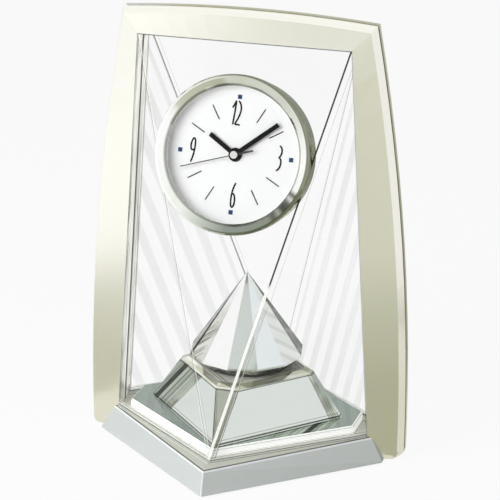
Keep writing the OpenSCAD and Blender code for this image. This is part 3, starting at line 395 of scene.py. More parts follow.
def frame_finish(name):
    """Satin champagne paint, with a painted highlight towards the top left, the bevels cut bright with
    painted highlight and shade, and the lining of the opening polished, painted dark as shade with pale
    streaks of painted reflection, paler towards the top, and a painted glow.
    """
    s = Shader(name)
    x, _, z = s.place()
    nx, ny, nz = s.normal()
    flake = s.noise(PAINT_FLAKE)
    bevel = (abs(nx).max(nz) * abs(ny)).above(0.15)
    side = x.rise(-1.0, 1.0, -1.0, 1.0)
    inner = (nx * side).below(-0.7)
    face = s.mix(tone(231, 230, 203), tone(237, 236, 210), s.noise(14.0))
    # Painted highlight: the face paler towards the top left, where the light falls.
    painted_top_left_highlight = z.rise(205.0, 235.0) * x.rise(-30.0, -62.0)
    face = s.mix(face, tone(252, 252, 246), painted_top_left_highlight)
    # Painted highlight and shade on the bevels: paler above, darker towards the bottom.
    cut = s.mix(tone(226, 224, 204), tone(253, 252, 242), z.rise(30.0, 120.0))
    # Painted reflection: pale streaks along the lining and paler towards the top, over a dark tone of painted
    # shade.
    painted_reflection_streaks = s.noise(1.0, 3.0, 0.6, (0.0, 620.0, 2.0)).rise(0.40, 0.60)
    lining = s.mix(tone(150, 152, 134), tone(252, 253, 246), painted_reflection_streaks.max(z.rise(120.0, 205.0) * 0.8))
    color = s.mix(s.mix(face, cut, bevel), lining, inner)
    rough = flake.around(0.40, 0.08) - bevel * 0.2 - inner * 0.3
    metal = (bevel * 0.35 + 0.5).max(inner * 0.6)
    # Painted glow on the lining, which is no lamp.
    glow = {"Emission Color": s.mix(NO_GLOW, lining, inner), "Emission Strength": 0.3}
    p = s.surface(color, rough, metal, glow)
    s.bumped(p, flake, 0.06, FINE_DEPTH)
    return s.done(p)


def silver_finish():
    """Satin silver paint, with a painted highlight along the base's upper edge and down its front and rear
    corners, a painted reflection on its top, and a dark line just under the top.
    """
    s = Shader("base_silver")
    flake = s.noise(BASE_FLAKE)
    x, y, z = s.place()
    flat_top = s.normal()[2].above(0.999)
    # Painted highlights along the upper edge and down the front and rear corners.
    corner = abs(x).rise(0.5, 0.25) * abs(y).above(60.0)
    edge = z.band(BASE_TOP_Z - 1.2, BASE_TOP_Z - 0.5, 0.2)
    line = z.band(BASE_TOP_Z - 0.45, BASE_TOP_Z - 0.08, 0.04)
    color = s.mix(tone(205, 211, 209), tone(213, 218, 216), s.noise(12.0))
    color = s.mix(color, tone(250, 253, 255), edge.max(corner))
    # Painted reflection: the top paler.
    color = s.mix(color, tone(226, 228, 217), z.above(BASE_TOP_Z - 0.3))
    color = s.mix(color, tone(104, 106, 96), line * (1 - flat_top))
    p = s.surface(color, flake.around(0.44, 0.08), 0.1)
    s.bumped(p, flake, 0.06, FINE_DEPTH)
    return s.done(p)


def seat_finish():
    """Pale trim under the glass, with thin painted lines along it for the shade and reflections of the glass.
    """
    s = Shader("seat_trim")
    z = s.place()[2]
    color = s.mix(tone(226, 229, 220), tone(236, 239, 231), s.noise(12.0))
    # Painted shade and reflections of the glass: thin dark lines along the trim.
    line = z.lines((14.1, 14.5, 0.1, 1.0), (15.3, 15.6, 0.1, 0.6), (17.6, 18.0, 0.1, 1.0))
    color = s.mix(color, tone(112, 116, 102), line * 0.8)
    return s.done(s.surface(color, 0.3))


def floor_finish():
    """Mirror floor: silvered on top, its polished edge left white and given a painted glow."""
    s = Shader("floor_mirror")
    z = s.place()[2]
    top = s.normal()[2].above(0.9)
    edge = s.mix(tone(252, 254, 249), tone(255, 255, 255), s.noise(20.0, 1.0))
    lip = z.band(BASE_TOP_Z - 0.1, BASE_TOP_Z + 0.4).max(z.band(FLOOR_Z - 0.9, FLOOR_Z - 0.6))
    color = s.mix(s.mix(edge, tone(120, 126, 112), lip * 0.6), tone(200, 209, 204), top)
    # Painted glow on the edge, which is no lamp.
    glow = s.mix(NO_GLOW, WHITE, (1 - top) * (1 - lip * 0.8))
    return s.done(s.surface(color, 0.2 - top * 0.16, top, {"Emission Color": glow, "Emission Strength": 0.4}))


def mirror_finish():
    """Pedestal: mirror sides with a pale ridge in front, a cream bevel and a ringed top."""
    s = Shader("pedestal_mirror")
    nx, _, nz = s.normal()
    x, y, z = s.place()
    top = nz.above(0.95)
    bevel = nz.above(0.45) * nz.below(0.95) * z.above(SHOULDER_Z - 1)
    color = s.mix(tone(214, 220, 216), tone(222, 226, 222), s.noise(10.0, 1.0))
    layers = s.noise(1.0, 2.0, 0.5, (40.0, 40.0, 1600.0)).rise(0.45, 0.55)
    color = s.mix(color, s.mix(tone(206, 207, 184), tone(250, 250, 240), layers), bevel)
    reach = abs(y) + abs(x) * 1.096
    rings = reach.lines((34.3, 34.9, 0.15, 1.0), (31.6, 32.3, 0.15, 1.0))
    color = s.mix(color, s.mix(tone(250, 250, 240), tone(112, 114, 98), rings), top)
    ridge = abs(nx).below(0.3) * z.below(SHOULDER_Z)
    color = s.mix(color, tone(172, 176, 164), ridge * (1 - top))
    ridge_half = (z - FLOOR_Z) * 0.2087 + 1.2
    beside = abs(abs(x) - ridge_half).below(0.3) * abs(y).above(20.0) * z.below(SHOULDER_Z)
    color = s.mix(color, tone(84, 88, 76), beside * 0.85)
    around = z.lines((FLOOR_Z + 0.3, FLOOR_Z + 1.1, 0.2, 1.0), (FLOOR_Z + 2.0, FLOOR_Z + 2.4, 0.2, 0.5),
                     (SHOULDER_Z - 0.7, SHOULDER_Z - 0.1, 0.15, 0.8))
    color = s.mix(color, tone(92, 98, 88), around * (1 - top))
    rough = s.noise(40.0, 1.0).around(0.03, 0.02) + top * 0.3
    return s.done(s.surface(color, rough, 1 - top * 0.95 - bevel * 0.4))


# What the glass lets through, and how much of the room it shows when seen straight on
PANE_TINT = (0.998, 0.999, 0.9985)
DIAL_TINT = (0.998, 0.999, 0.998)
GLASS_SHINE = 0.008


def glazing(s, tint):
    """Clear glass, which lets the light through and shows the room by its gloss."""
    clear = s.node("ShaderNodeBsdfTransparent", {}, {"Color": tint})
    gloss = s.surface(WHITE, 0.0, 1.0)
    grazing = s.num(s.node("ShaderNodeLayerWeight", {}, {"Blend": 0.5}).outputs["Facing"])
    return s.blend(clear, gloss, grazing.math("POWER", grazing, 5.0) * 0.5 + GLASS_SHINE)


def clear_glass():
    s = Shader("dial_glass")
    return s.done(glazing(s, DIAL_TINT))


def seam_distance(places, start, end, inward):
    """Distance in millimetres from the line through start and end, positive on the inward side."""
    along = (end - start).normalized()
    side = (inward - start) - along * (inward - start).dot(along)
    side.normalize()
    return sum((p - c) * side[i] for i, (p, c) in enumerate(zip(places, start)))


def outer_face(places, a, b, c):
    """1 on the pane's outer face, which holds the three points, and 0 on its inner one."""
    out = (b - a).cross(c - a).normalized()
    return abs(sum((p - q) * out[i] for i, (p, q) in enumerate(zip(places, a)))).below(0.4)


# Painted shade, highlights and reflections for what the mitred edges of the glass show: lines along the edges
# of a pane, each with its colour, its start and end from the edge, its strength, and the heights between
# which it runs
EDGE_PAINTED_SHADE = tone(46, 47, 40)
EDGE_PAINTED_OLIVE_REFLECTION = tone(150, 154, 134)
EDGE_PAINTED_HIGHLIGHT = tone(250, 251, 246)
LOW, HIGH = 0, 300
WAIST_Z = 48
PEAK_Z = 92
CHANGE_Z = 103
FRONT_SEAM_LEFT = [
    (EDGE_PAINTED_OLIVE_REFLECTION, 0.0, 0.4, 0.35, LOW, HIGH), (EDGE_PAINTED_HIGHLIGHT, 0.6, 1.2, 0.4, LOW, HIGH),
    (EDGE_PAINTED_OLIVE_REFLECTION, 1.4, 1.8, 0.3, LOW, WAIST_Z)]
FRONT_SEAM_LEFT_SIDE = [
    (EDGE_PAINTED_OLIVE_REFLECTION, 1.4, 1.7, 0.25, WAIST_Z, HIGH), (EDGE_PAINTED_HIGHLIGHT, 0.2, 0.9, 0.5, LOW, WAIST_Z)]
FRONT_SEAM_RIGHT = [
    (EDGE_PAINTED_SHADE, 0.0, 0.9, 1.0, CHANGE_Z, HIGH), (EDGE_PAINTED_HIGHLIGHT, 0.0, 1.6, 0.9, LOW, CHANGE_Z),
    (EDGE_PAINTED_OLIVE_REFLECTION, 1.7, 1.95, 0.4, LOW, PEAK_Z)]
FRONT_SEAM_RIGHT_SIDE = [
    (EDGE_PAINTED_OLIVE_REFLECTION, 3.0, 3.3, 0.4, PEAK_Z, HIGH), (EDGE_PAINTED_OLIVE_REFLECTION, 0.2, 1.7, 0.22, WAIST_Z, PEAK_Z),
    (EDGE_PAINTED_OLIVE_REFLECTION, 0.2, 1.7, 0.55, LOW, WAIST_Z), (EDGE_PAINTED_HIGHLIGHT, 1.8, 2.3, 0.7, LOW, PEAK_Z),
    (EDGE_PAINTED_SHADE, 2.4, 2.8, 0.3, WAIST_Z, PEAK_Z), (EDGE_PAINTED_SHADE, 2.4, 2.9, 0.6, LOW, WAIST_Z)]
REAR_SEAM_LEFT = [(EDGE_PAINTED_SHADE, 0.0, 0.6, 0.75, LOW, HIGH), (EDGE_PAINTED_OLIVE_REFLECTION, 2.2, 2.7, 0.2, LOW, HIGH)]
REAR_SEAM_RIGHT = [(EDGE_PAINTED_OLIVE_REFLECTION, 0.0, 0.5, 0.4, LOW, HIGH)]
# Painted shadow where the glass meets the frame.
LEG_EDGE = [(EDGE_PAINTED_SHADE, 0.0, 0.5, 0.5, LOW, HIGH)]
TOP_EDGE = [(EDGE_PAINTED_SHADE, 0.0, 0.5, 0.8, LOW, HIGH)]
FOOT_EDGE = [
    (EDGE_PAINTED_SHADE, 0.0, 0.45, 0.7, LOW, HIGH), (EDGE_PAINTED_HIGHLIGHT, 0.55, 1.5, 0.6, LOW, HIGH),
    (EDGE_PAINTED_OLIVE_REFLECTION, 1.6, 2.0, 0.6, LOW, HIGH), (EDGE_PAINTED_HIGHLIGHT, 2.1, 2.9, 0.35, LOW, HIGH)]


def pane(name, corners, edges, frost=None):
    """A glass pane. Each edge is a line, a point on its inward side, and the rows of painted lines of shade,
    highlight and reflection along it.
    """
    s = Shader(name)
    places = s.place()
    look = glazing(s, PANE_TINT)
    outside = outer_face(places, *corners)
    if frost:
        milk = s.surface(tone(216, 218, 226), 0.7)
        look = s.blend(look, milk, frost(places) * outside * s.noise(50.0).around(0.165, 0.05))
    for start, end, inward, rows in edges:
        d = seam_distance(places, start, end, inward)
        for color, near, far, strength, low, high in rows:
            mask = d.band(near, far, 0.12) * outside
            if (low, high) != (LOW, HIGH):
                mask = mask * places[2].band(low, high, 2.0)
            # Each row lays one of the painted lines of shade, highlights and reflections along the edge.
            look = s.blend(look, s.surface(color, 0.25), mask * strength)
    return s.done(look)


STRIPE_PITCH = 10.35


def frost_beside(side):
    """Frosted stripes on the rear side pane at the left, -1, or at the right, 1, along its slanted seam."""
    top = rear(TOP_RIGHT if side > 0 else TOP_LEFT)
    foot = rear(FOOT_RIGHT if side > 0 else FOOT_LEFT)

    def frost(places):
        d = seam_distance(places, top, rear(FRONT_FOOT), foot)
        wave = (d / STRIPE_PITCH).fract()
        return wave.rise(0.04, 0.2) * wave.rise(0.5, 0.66, 1.0, 0.0) * d.rise(3.0, 4.5)

    return frost


# Painted tones of the crystal's facets, from the one at its right: cut glass over a mirror gives each an even
# one, painted here as reflection and shade.
# The row above the rim runs round twice, and the row below it, in painted shade and reflection, four times.
PAINTED_FACET_TONES = [(66, 74, 63), (255, 255, 255), (255, 255, 255), (213, 219, 214), (246, 252, 253), (252, 255, 252)]
PAINTED_UNDER_TONES = [(40, 44, 38), (196, 201, 190), (88, 96, 84), (30, 34, 30), (120, 128, 112), (22, 26, 22)]
CRYSTAL_TURN = 2.7
FACET = 1 / len(PAINTED_FACET_TONES)
CLEAR_SHARE = 0.08


def facet_stops(tones):
    return [(k * FACET, tone(*c)) for k, c in enumerate(tones)]


def repeats(along, pitch, share):
    """1 on the first share of each step of a pitch, 0 on the rest."""
    return (along / pitch).fract().below(share)


def crystal_finish():
    """Cut crystal: an even painted tone of reflection and shade on each facet, painted streak, glint and dark
    edge lines on three of them, painted shade below the rim, and a little clear glass.
    """
    s = Shader("crystal_cut")
    x, y, z = s.place()
    below_rim = s.normal()[2].below(-0.05)
    turn = (y.angle(x) * (180 / math.pi) + (360 + CRYSTAL_TURN)) / 180
    facet = turn.fract()
    across = (facet * len(PAINTED_FACET_TONES)).fract()
    right = facet.band(-FACET, FACET, 0.002)
    left = facet.band(FACET, 2 * FACET, 0.002)
    last = facet.band(5 * FACET, 1.0, 0.002)
    slant = z * 0.77 - (x - y) * 0.45
    level = z + (x + y) * 0.45
    # Painted reflection and shade: an even tone on each facet.
    color = s.ramp(facet, facet_stops(PAINTED_FACET_TONES), "CONSTANT")
    # Painted reflections on three facets: streak lines and a dark edge at the left, glint lines and dark
    # edges at the right, steps on the last.
    lines = repeats(slant, 3.1, 0.2).max(repeats(slant, 4.7, 0.14))
    painted_streaks = lines * z.rise(76.0, 60.0) * across.rise(0.85, 0.5)
    color = s.mix(color, tone(126, 132, 110), painted_streaks * left * 0.7)
    color = s.mix(color, tone(70, 76, 64), across.below(0.14) * left)
    painted_glints = across.band(0.44, 0.56, 0.02).max(repeats(level, 7.3, 0.2))
    color = s.mix(color, tone(150, 158, 146), painted_glints * right * 0.6)
    color = s.mix(color, tone(44, 49, 41), across.below(0.14).max(across.above(0.86)) * right * 0.85)
    steps = repeats(level, 5.9, 0.35) * z.rise(84.0, 74.0)
    color = s.mix(color, tone(206, 213, 205), last * steps * 0.45)
    # Painted shade and reflection on the facets below the rim.
    color = s.mix(color, s.ramp((turn * 2).fract(), facet_stops(PAINTED_UNDER_TONES), "CONSTANT"), below_rim)
    cut = s.surface(color, 0.12, 0.7)
    glass = s.surface((0.985, 0.995, 0.99), 0.0, 0.0, {"IOR": 1.5, "Transmission Weight": 1.0})
    return s.done(s.blend(cut, glass, CLEAR_SHARE))


# Painted reflection: tones that the polished bezel takes from the room, from its right anticlockwise
BEZEL_PAINTED_REFLECTION = [
    (0.0, (252, 253, 249)), (0.07, (238, 240, 231)), (0.13, (212, 215, 203)), (0.25, (200, 204, 189)),
    (0.33, (236, 238, 230)), (0.43, (252, 253, 251)), (0.55, (250, 252, 248)), (0.64, (240, 243, 236)),
    (0.69, (198, 204, 192)), (0.75, (144, 152, 141)), (0.85, (140, 146, 134)), (0.862, (92, 95, 87)),
    (0.876, (160, 164, 154)), (0.888, (70, 73, 65)), (0.905, (104, 107, 99)), (0.915, (214, 217, 208)),
    (0.925, (88, 91, 83)), (0.935, (246, 248, 243)), (1.0, (252, 253, 249))]
OLIVE_CHROME = tone(146, 149, 126)
OLIVE_WALL = tone(148, 150, 126)


def drum_places(s):
    """Across and up on the drum, from the centre of its front."""
    x, y, z = s.place()
    up = (y - DRUM_Y) * math.sin(PANE_TILT) + (z - DRUM_Z) * math.cos(PANE_TILT)
    return x, up


def distance(a, b):
    return (a * a + b * b).root()


def bezel_finish():
    """Polished chrome, with a painted reflection of the room all round, a painted highlight on its lower rim,
    painted shade on its inner edge and inner wall, and an olive crescent where the drum's side shows at the
    right.
    """
    s = Shader("bezel_chrome")
    x, up = drum_places(s)
    reach = distance(x, up)
    _, ny, nz = s.normal()
    facing = abs(ny * -math.cos(PANE_TILT) + nz * math.sin(PANE_TILT))
    turn = (up.angle(x) / (2 * math.pi)).fract()
    # Painted reflection of the room, by the angle round the bezel.
    color = s.ramp(turn, [(at, tone(*c)) for at, c in BEZEL_PAINTED_REFLECTION])
    # Painted highlight along the lower outer rim.
    low_rim_painted_highlight = reach.rise(BEZEL_R - 1.2, BEZEL_R - 0.8) * turn.band(0.58, 0.80, 0.03)
    color = s.mix(color, tone(250, 251, 247), low_rim_painted_highlight * 0.8)
    # Painted shade along the inner edge.
    color = s.mix(color, tone(96, 98, 90), reach.rise(BEZEL_R - 4.7, BEZEL_R - 5.1) * 0.6)
    right = x.above(0.0)
    past = distance(x + 0.9, up - 0.2) - (BEZEL_R - 0.5)
    color = s.mix(color, OLIVE_CHROME, past.above(0.0) * right)
    color = s.mix(color, tone(92, 95, 82), past.band(-0.3, 0.2, 0.1) * right * 0.7)
    color = s.mix(color, OLIVE_WALL, facing.below(0.3) * reach.above(BEZEL_R - 2.6))
    # Painted shade on the inner wall.
    color = s.mix(color, tone(74, 76, 68), facing.below(0.5) * reach.below(BEZEL_R - 3.6) * 0.8)
    white_side = turn.band(0.44, 0.64, 0.05)
    return s.done(s.surface(color, s.noise(METAL_GRAIN).around(0.10, 0.04), 1 - white_side * 0.6))


INK_SHINE = 0.1


def mark_finish():
    """Blue squares on the ring of marks, black hour lines inside it."""
    s = Shader("dial_marks")
    x, up = drum_places(s)
    square = abs(x).min(abs(up)).below(1.6)
    ink = s.mix(tone(14, 14, 14), tone(40, 68, 110), square)
    rough = s.noise(900.0, 1.0).around(0.55, 0.1)
    return s.done(s.surface(ink, rough, 0.0, {"Specular IOR Level": INK_SHINE}))


def second_finish():
    """The second hand: dark, with a bright boss."""
    s = Shader("second_hand")
    x, up = drum_places(s)
    boss = distance(x, up).rise(2.0, 1.8)
    color = s.mix(tone(52, 52, 52), tone(236, 237, 236), boss)
    return s.done(s.surface(color, s.noise(900.0, 1.0).around(0.25, 0.1), boss * 0.8 + 0.1))


def paint(material, *nodes):
    """Gives CAD nodes their finish."""
    for name in nodes:
        slots = NODES[name].data.materials
        slots.clear()
        slots.append(material)


paint(frame_finish("frame_champagne"), "front_frame", "rear_frame")
paint(silver_finish(), "base_shell")
paint(floor_finish(), "floor_plate")
paint(mirror_finish(), "pedestal")
paint(moulded("strip_dark", tone(92, 93, 78), 0.45), "parting_strip")
paint(moulded("black_plastic", tone(42, 42, 44), 0.45, grain=0.3), "base_bottom_plate", "battery_door",
      "switch_body", "setting_knob", "movement_front", "movement_back", "back_cover", "movement_hatch")
paint(moulded("dark_plastic", tone(52, 56, 50), 0.3), "motor_plate", "turntable")
paint(moulded("white_plastic", tone(238, 238, 236), 0.4, spread=0.02), "switch_slider", "dial_ring")
paint(moulded("gear_plastic", tone(232, 228, 212), 0.4), "motor_pinion", "drive_gear", "hour_wheel",
      "minute_wheel")
paint(turned("steel", tone(196, 196, 192), 0.3), "base_screws", "drive_motor", "frame_screws", "leg_screws",
      "back_cover_screws")
paint(turned("bright_steel", tone(222, 222, 219), 0.22), "battery_contacts", "spindle", "second_arbor")
paint(moulded("rubber", tone(48, 48, 48), 0.8, grain=0.4), "rubber_feet")
paint(moulded("grey_trim", tone(214, 219, 213), 0.35), "hole_sleeve")
paint(seat_finish(), "glass_seat")
paint(turned("brass", tone(230, 207, 148), 0.25), "spindle_bush", "cannon_pinion")
paint(moulded("cell_jacket", tone(196, 176, 117), 0.35), "battery_cell", "movement_cell")
paint(turned("copper", tone(218, 154, 97), 0.35), "stepping_coil")
paint(moulded("board_green", tone(50, 112, 68), 0.4), "circuit_board")
paint(turned("drum_metal", OLIVE_WALL, 0.2, spread=0.03), "drum_case")
paint(bezel_finish(), "bezel")
paint(moulded("dial_white", tone(246, 247, 247), 0.6, spread=0.01), "dial_plate")
paint(moulded("numeral_ink", tone(12, 12, 12), 0.7, shine=INK_SHINE), "dial_numerals")
paint(moulded("hand_black", tone(9, 9, 9), 0.6, shine=INK_SHINE), "hour_hand", "minute_hand")
paint(second_finish(), "second_hand")
paint(mark_finish(), "dial_marks")
paint(crystal_finish(), "crystal")
paint(clear_glass(), "dial_glass")


def screw_shape():
    """A screw with a cross recess: its head ends at the point, its shank runs on behind."""
    g = Shape("cross_screw", "Head Radius", "Head Height", "Shank Radius", "Length")
    head_r, head_h, length = g.size("Head Radius"), g.size("Head Height"), g.size("Length")
    recess_l, recess_w = head_r * 1.3, head_r * 0.28
    head_sides, shank_sides = 28, 20
    head = g.lifted(g.node("GeometryNodeMeshCone", {}, {
        "Vertices": head_sides, "Radius Top": head_r * 0.88, "Radius Bottom": head_r,
        "Depth": head_h}), -head_h)
    for bar in ((recess_l, recess_w, head_h), (recess_w, recess_l, head_h)):
        head = g.node("GeometryNodeMeshBoolean", {"operation": "DIFFERENCE"}, {
            "Mesh 1": head, "Mesh 2": g.node("GeometryNodeMeshCube", {}, {"Size": g.vector(*bar)})})
    shank = g.node("GeometryNodeMeshCylinder", {}, {
        "Vertices": shank_sides, "Radius": g.size("Shank Radius"), "Depth": length - head_h})
    return g.finished(g.joined(head, g.lifted(shank, (length + head_h) * -0.5)))


def grip_shape():
    """A row of low ribs for a thumb."""
    g = Shape("thumb_grip", "Count", "Pitch", "Length", "Width", "Height")
    count, pitch = g.size("Count"), g.size("Pitch")
    rib = g.node("GeometryNodeMeshCube", {}, {
        "Size": g.vector(g.size("Length"), g.size("Width"), g.size("Height"))})
    first = (count - 1.0) * pitch * -0.5
    row = g.node("GeometryNodeMeshLine", {}, {
        "Count": count, "Start Location": g.vector(y=first), "Offset": g.vector(y=pitch)})
    return g.finished(g.on_points(row, rib))


def stand_in(piece, node):
    """The piece takes the place of a CAD node and moves with its body."""
    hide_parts(node)
    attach(piece, body_of(NODES[node])[0])


DRUM_BACK = Vector((0, math.cos(PANE_TILT), -math.sin(PANE_TILT)))
DOWN = Vector((0, 0, -1))
BACK = Vector((0, 1, 0))
SCREW = screw_shape()
GRIP = grip_shape()
SCREW_STEEL = NODES["base_screws"].data.materials[0]
BLACK = NODES["back_cover"].data.materials[0]


def screws(node, marks, head_r, head_h, shank_r, length):
    """Screws with cross recesses in place of a node's plain ones, a mark at the top of each head."""
    sizes = {"Head Radius": head_r, "Head Height": head_h, "Shank Radius": shank_r, "Length": length}
    stand_in(SCREW.made(node + "_cut", marks, SCREW_STEEL, **sizes), node)


# Middle of the top of each screw's head
BASE_SCREWS = [
    (-40, -26, 2.6), (-40, 26, 2.6), (40, -26, 2.6), (40, 26, 2.6), (-32, 0, 2.6), (0, 30.05, 2.6),
    (4.02, -34, 2.6)]
FRAME_SCREWS = [(-76.13, 7.4, 48.4), (-67.68, 7.4, 171.6), (76.13, 7.4, 48.4), (67.68, 7.4, 171.6)]
LEG_SCREWS = [(-65.03, -4.7, 7.3), (-65.03, 5.95, 7.3), (65.03, -4.7, 7.3), (65.03, 5.95, 7.3)]
COVER_SCREWS = [(35.1, -10.59, 161.57), (-35.1, -10.59, 161.57), (0.0, -1.25, 195.4), (0.0, -19.93, 127.74)]
screws("base_screws", [(p, DOWN) for p in BASE_SCREWS], head_r=2.6, head_h=0.9, shank_r=1.2, length=4.8)
screws("frame_screws", [(p, BACK) for p in FRAME_SCREWS], head_r=2.6, head_h=1.2, shank_r=1.5, length=10.0)
screws("leg_screws", [(p, Vector((-math.copysign(1, p[0]), 0, 0))) for p in LEG_SCREWS],
       head_r=2.6, head_h=1.2, shank_r=1.5, length=13.2)
screws("back_cover_screws", [(p, DRUM_BACK) for p in COVER_SCREWS],
       head_r=2.15, head_h=0.84, shank_r=1.2, length=4.2)


def printed(node, by):
    """The print on the dial in place of its node, a little bolder all round, by so many millimetres."""
    mesh = NODES[node].data.copy()
    mesh.name = node + "_print"
    corners = [tuple(round(c / MM, 3) for c in v.co) for v in mesh.vertices]
    pushes = {}
    for corner, v in zip(corners, mesh.vertices):
        flat = v.normal - DRUM_BACK * v.normal.dot(DRUM_BACK)
        if flat.length > 0.5:
            pushes[corner] = pushes.get(corner, Vector()) + flat.normalized()
    for corner, v in zip(corners, mesh.vertices):
        if corner in pushes and pushes[corner].length > 0.1:
            v.co += pushes[corner].normalized() * by * MM
    piece = bpy.data.objects.new(node + "_print", mesh)
    bpy.context.scene.collection.objects.link(piece)
    stand_in(piece, node)


printed("dial_numerals", by=0.14)
printed("dial_marks", by=0.06)


def far_middle(node, way):
    """The middle of the node's outermost face in one direction, in millimetres."""
    corners = [v.co / MM for v in NODES[node].data.vertices]
    reach = max(c.dot(way) for c in corners)
    face = [c for c in corners if c.dot(way) > reach - 0.05]
    return sum(face, Vector()) / len(face)


def grip(node, way, length, height):
    """Six thumb ribs on the middle of a node's outermost face."""
    sizes = {"Count": 6, "Pitch": 1.5, "Length": length, "Width": 0.6, "Height": height * 2}
    piece = GRIP.made(node + "_grip", [(far_middle(node, way), way)], BLACK, **sizes)
    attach(piece, body_of(NODES[node])[0])


grip("movement_hatch", DRUM_BACK, length=14.0, height=0.25)
grip("battery_door", DOWN, length=16.0, height=0.4)

CENTRE = (TOP_LEFT + TOP_RIGHT + FRONT_FOOT) / 3
REAR_LEFT, REAR_RIGHT, REAR_FOOT = rear(TOP_LEFT), rear(TOP_RIGHT), rear(FRONT_FOOT)


def side_pane(name, top, foot, point, seam, frost=None):
    """A side pane between its upper corner, its lower corner at the leg and the case's foot at the middle."""
    edges = [(top, point, foot, seam)] if seam else []
    edges += [(top, foot, point, LEG_EDGE), (foot, point, top, FOOT_EDGE)]
    paint(pane(name, (top, foot, point), edges, frost), name[len("pane_"):] + "_pane")


paint(pane("pane_front_centre", (TOP_LEFT, TOP_RIGHT, FRONT_FOOT), [
    (TOP_LEFT, FRONT_FOOT, CENTRE, FRONT_SEAM_LEFT), (TOP_RIGHT, FRONT_FOOT, CENTRE, FRONT_SEAM_RIGHT),
    (TOP_LEFT, TOP_RIGHT, CENTRE, TOP_EDGE)]), "front_centre_pane")
side_pane("pane_front_left", TOP_LEFT, FOOT_LEFT, FRONT_FOOT, FRONT_SEAM_LEFT_SIDE)
side_pane("pane_front_right", TOP_RIGHT, FOOT_RIGHT, FRONT_FOOT, FRONT_SEAM_RIGHT_SIDE)
paint(pane("pane_rear_centre", (REAR_LEFT, REAR_RIGHT, REAR_FOOT), [
    (REAR_LEFT, REAR_FOOT, rear(CENTRE), REAR_SEAM_LEFT),
    (REAR_RIGHT, REAR_FOOT, rear(CENTRE), REAR_SEAM_RIGHT)]), "rear_centre_pane")
side_pane("pane_rear_left", REAR_LEFT, rear(FOOT_LEFT), REAR_FOOT, None, frost_beside(-1))
side_pane("pane_rear_right", REAR_RIGHT, rear(FOOT_RIGHT), REAR_FOOT, None, frost_beside(1))


def sheet(name, corners, material):
    """A flat piece of the studio, left out of the object."""
    mesh = bpy.data.meshes.new(name)
    mesh.from_pydata(corners, [], [tuple(range(len(corners)))])
    mesh.materials.append(material)
    o = bpy.data.objects.new(name, mesh)
    bpy.context.scene.collection.objects.link(o)


def background_rays(s):
    """1 for the rays that see the background: from the camera, off metal and through glass."""
    path = s.node("ShaderNodeLightPath")
    seen, mirrored, through = (s.num(path.outputs[n]) for n in (
        "Is Camera Ray", "Is Glossy Ray", "Is Transmission Ray"))
    return seen.max(mirrored).max(through)


FLOOR_GLOW = 0.92


def floor_look():
    """A white floor that keeps shadows, and is clear from below."""
    s = Shader("floor_white")
    matte = s.node("ShaderNodeBsdfDiffuse", {}, {"Color": (0.9, 0.9, 0.9)})
    glow = s.node("ShaderNodeEmission", {}, {"Color": WHITE})
    below = s.num(s.node("ShaderNodeNewGeometry").outputs["Backfacing"])
    clear = s.node("ShaderNodeBsdfTransparent")
    return s.done(s.blend(s.blend(matte, glow, background_rays(s) * FLOOR_GLOW), clear, below))


def flag_look(name, color):
    """A studio flag, which only reflections show."""
    s = Shader(name)
    clear = s.node("ShaderNodeBsdfTransparent")
    glow = s.node("ShaderNodeEmission", {}, {"Color": color})
    mirrored = s.num(s.node("ShaderNodeLightPath").outputs["Is Glossy Ray"])
    return s.done(s.blend(clear, glow, mirrored))


def mat(name, color, *corners):
    """A flag that lies just above the floor, its corners across and back in metres."""
    sheet(name, [(x, y, MAT_Z) for x, y in corners], flag_look(name, color))


def wall(name, color, left, right, back, foot, top):
    """A flag that stands upright, square to the clock."""
    sheet(name, [(left, back, foot), (right, back, foot), (right, back, top), (left, back, top)],
          flag_look(name, color))


# In metres, as everything in the studio
FLOOR_HALF = 6
TABLE_Z = -0.0002
MAT_Z = 0.0006
sheet("floor", [(x * FLOOR_HALF, y * FLOOR_HALF, TABLE_Z) for x, y in ((-1, -1), (1, -1), (1, 1), (-1, 1))],
      floor_look())
mat("front_mat", (0.50, 0.51, 0.41), (0.0, -0.12), (-0.15, -0.25), (-0.15, -0.3), (0.4, -0.3), (0.3, 0.0),
    (0.09, 0.0))
mat("far_mat", (0.60, 0.60, 0.50), (-0.15, -0.3), (-0.05, -1.8), (0.9, -1.8), (0.4, -0.3))
mat("left_mat", (0.66, 0.67, 0.62), (-0.11, -0.03), (-0.26, -0.12), (-0.24, -0.24), (-0.12, -0.14))
wall("front_flag", (0.66, 0.67, 0.62), left=-0.345, right=0.12, back=-1.0, foot=0.36, top=0.8)
wall("rear_flag", (0.50, 0.54, 0.51), left=-0.9, right=0.5, back=0.9, foot=0.0, top=0.9)
mat("rear_mat", (0.38, 0.39, 0.32), (0.03, 0.12), (0.3, 0.12), (0.55, 0.9), (0.26, 0.9))


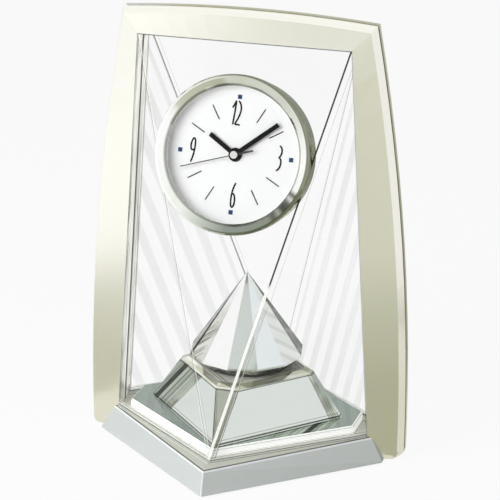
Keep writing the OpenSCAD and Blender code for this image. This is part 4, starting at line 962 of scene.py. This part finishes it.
def room_light():
    """A plain room, a little brighter from the left and from above, and white where the camera sees it."""
    world = bpy.data.worlds.new("studio")
    bpy.context.scene.world = world
    s = Shader("studio", world)
    x, _, z = s.parts(s.coords().outputs["Generated"])
    level = x * -0.06 + z.max(0.0) * 0.06 + 0.27
    room = s.node("ShaderNodeBackground", {}, {"Color": (1.0, 0.995, 0.985), "Strength": level})
    white = s.node("ShaderNodeBackground", {}, {"Color": WHITE})
    s.done(s.blend(room, white, background_rays(s)), "ShaderNodeOutputWorld")


def lamp(name, place, aim, side, watts):
    """A square soft lamp, which shiny surfaces don't show."""
    data = bpy.data.lights.new(name, "AREA")
    data.shape = "SQUARE"
    data.size = side
    data.energy = watts
    o = bpy.data.objects.new(name, data)
    o.location = place
    o.rotation_mode = "QUATERNION"
    o.rotation_quaternion = (Vector(aim) - Vector(place)).to_track_quat("-Z", "Y")
    o.visible_glossy = False
    bpy.context.scene.collection.objects.link(o)


# The camera as it was fitted to the outline of the frame and the base, with its focal length in pixels
PICTURE_WIDTH = 500
FOCAL_LENGTH = 2630.74
CAMERA_PLACE = Vector((0.36556, -1.23170, 0.56707))
CAMERA_AHEAD = Vector((-0.26688, 0.90265, -0.33765))
CAMERA_ROLL = 0.0072


def camera():
    data = bpy.data.cameras.new("camera")
    data.sensor_width = 36.0
    data.lens = FOCAL_LENGTH / PICTURE_WIDTH * data.sensor_width
    data.clip_start, data.clip_end = 0.05, 50
    o = bpy.data.objects.new("camera", data)
    ahead = CAMERA_AHEAD.normalized()
    side = ahead.cross(Vector((0, 0, 1))).normalized()
    up = side.cross(ahead)
    right = side * math.cos(CAMERA_ROLL) + up * math.sin(CAMERA_ROLL)
    above = up * math.cos(CAMERA_ROLL) - side * math.sin(CAMERA_ROLL)
    turn = Matrix((right, above, -ahead)).transposed().to_4x4()
    turn.translation = CAMERA_PLACE
    o.matrix_world = turn
    bpy.context.scene.collection.objects.link(o)
    bpy.context.scene.camera = o


room_light()
lamp("key", (-0.35, -0.6, 0.42), aim=(0, -0.02, 0.15), side=0.6, watts=4.6)
lamp("fill", (0.9, -0.5, 0.7), aim=(0, 0, 0.1), side=0.6, watts=0.6)
camera()
bpy.context.scene.view_settings.view_transform = "Standard"
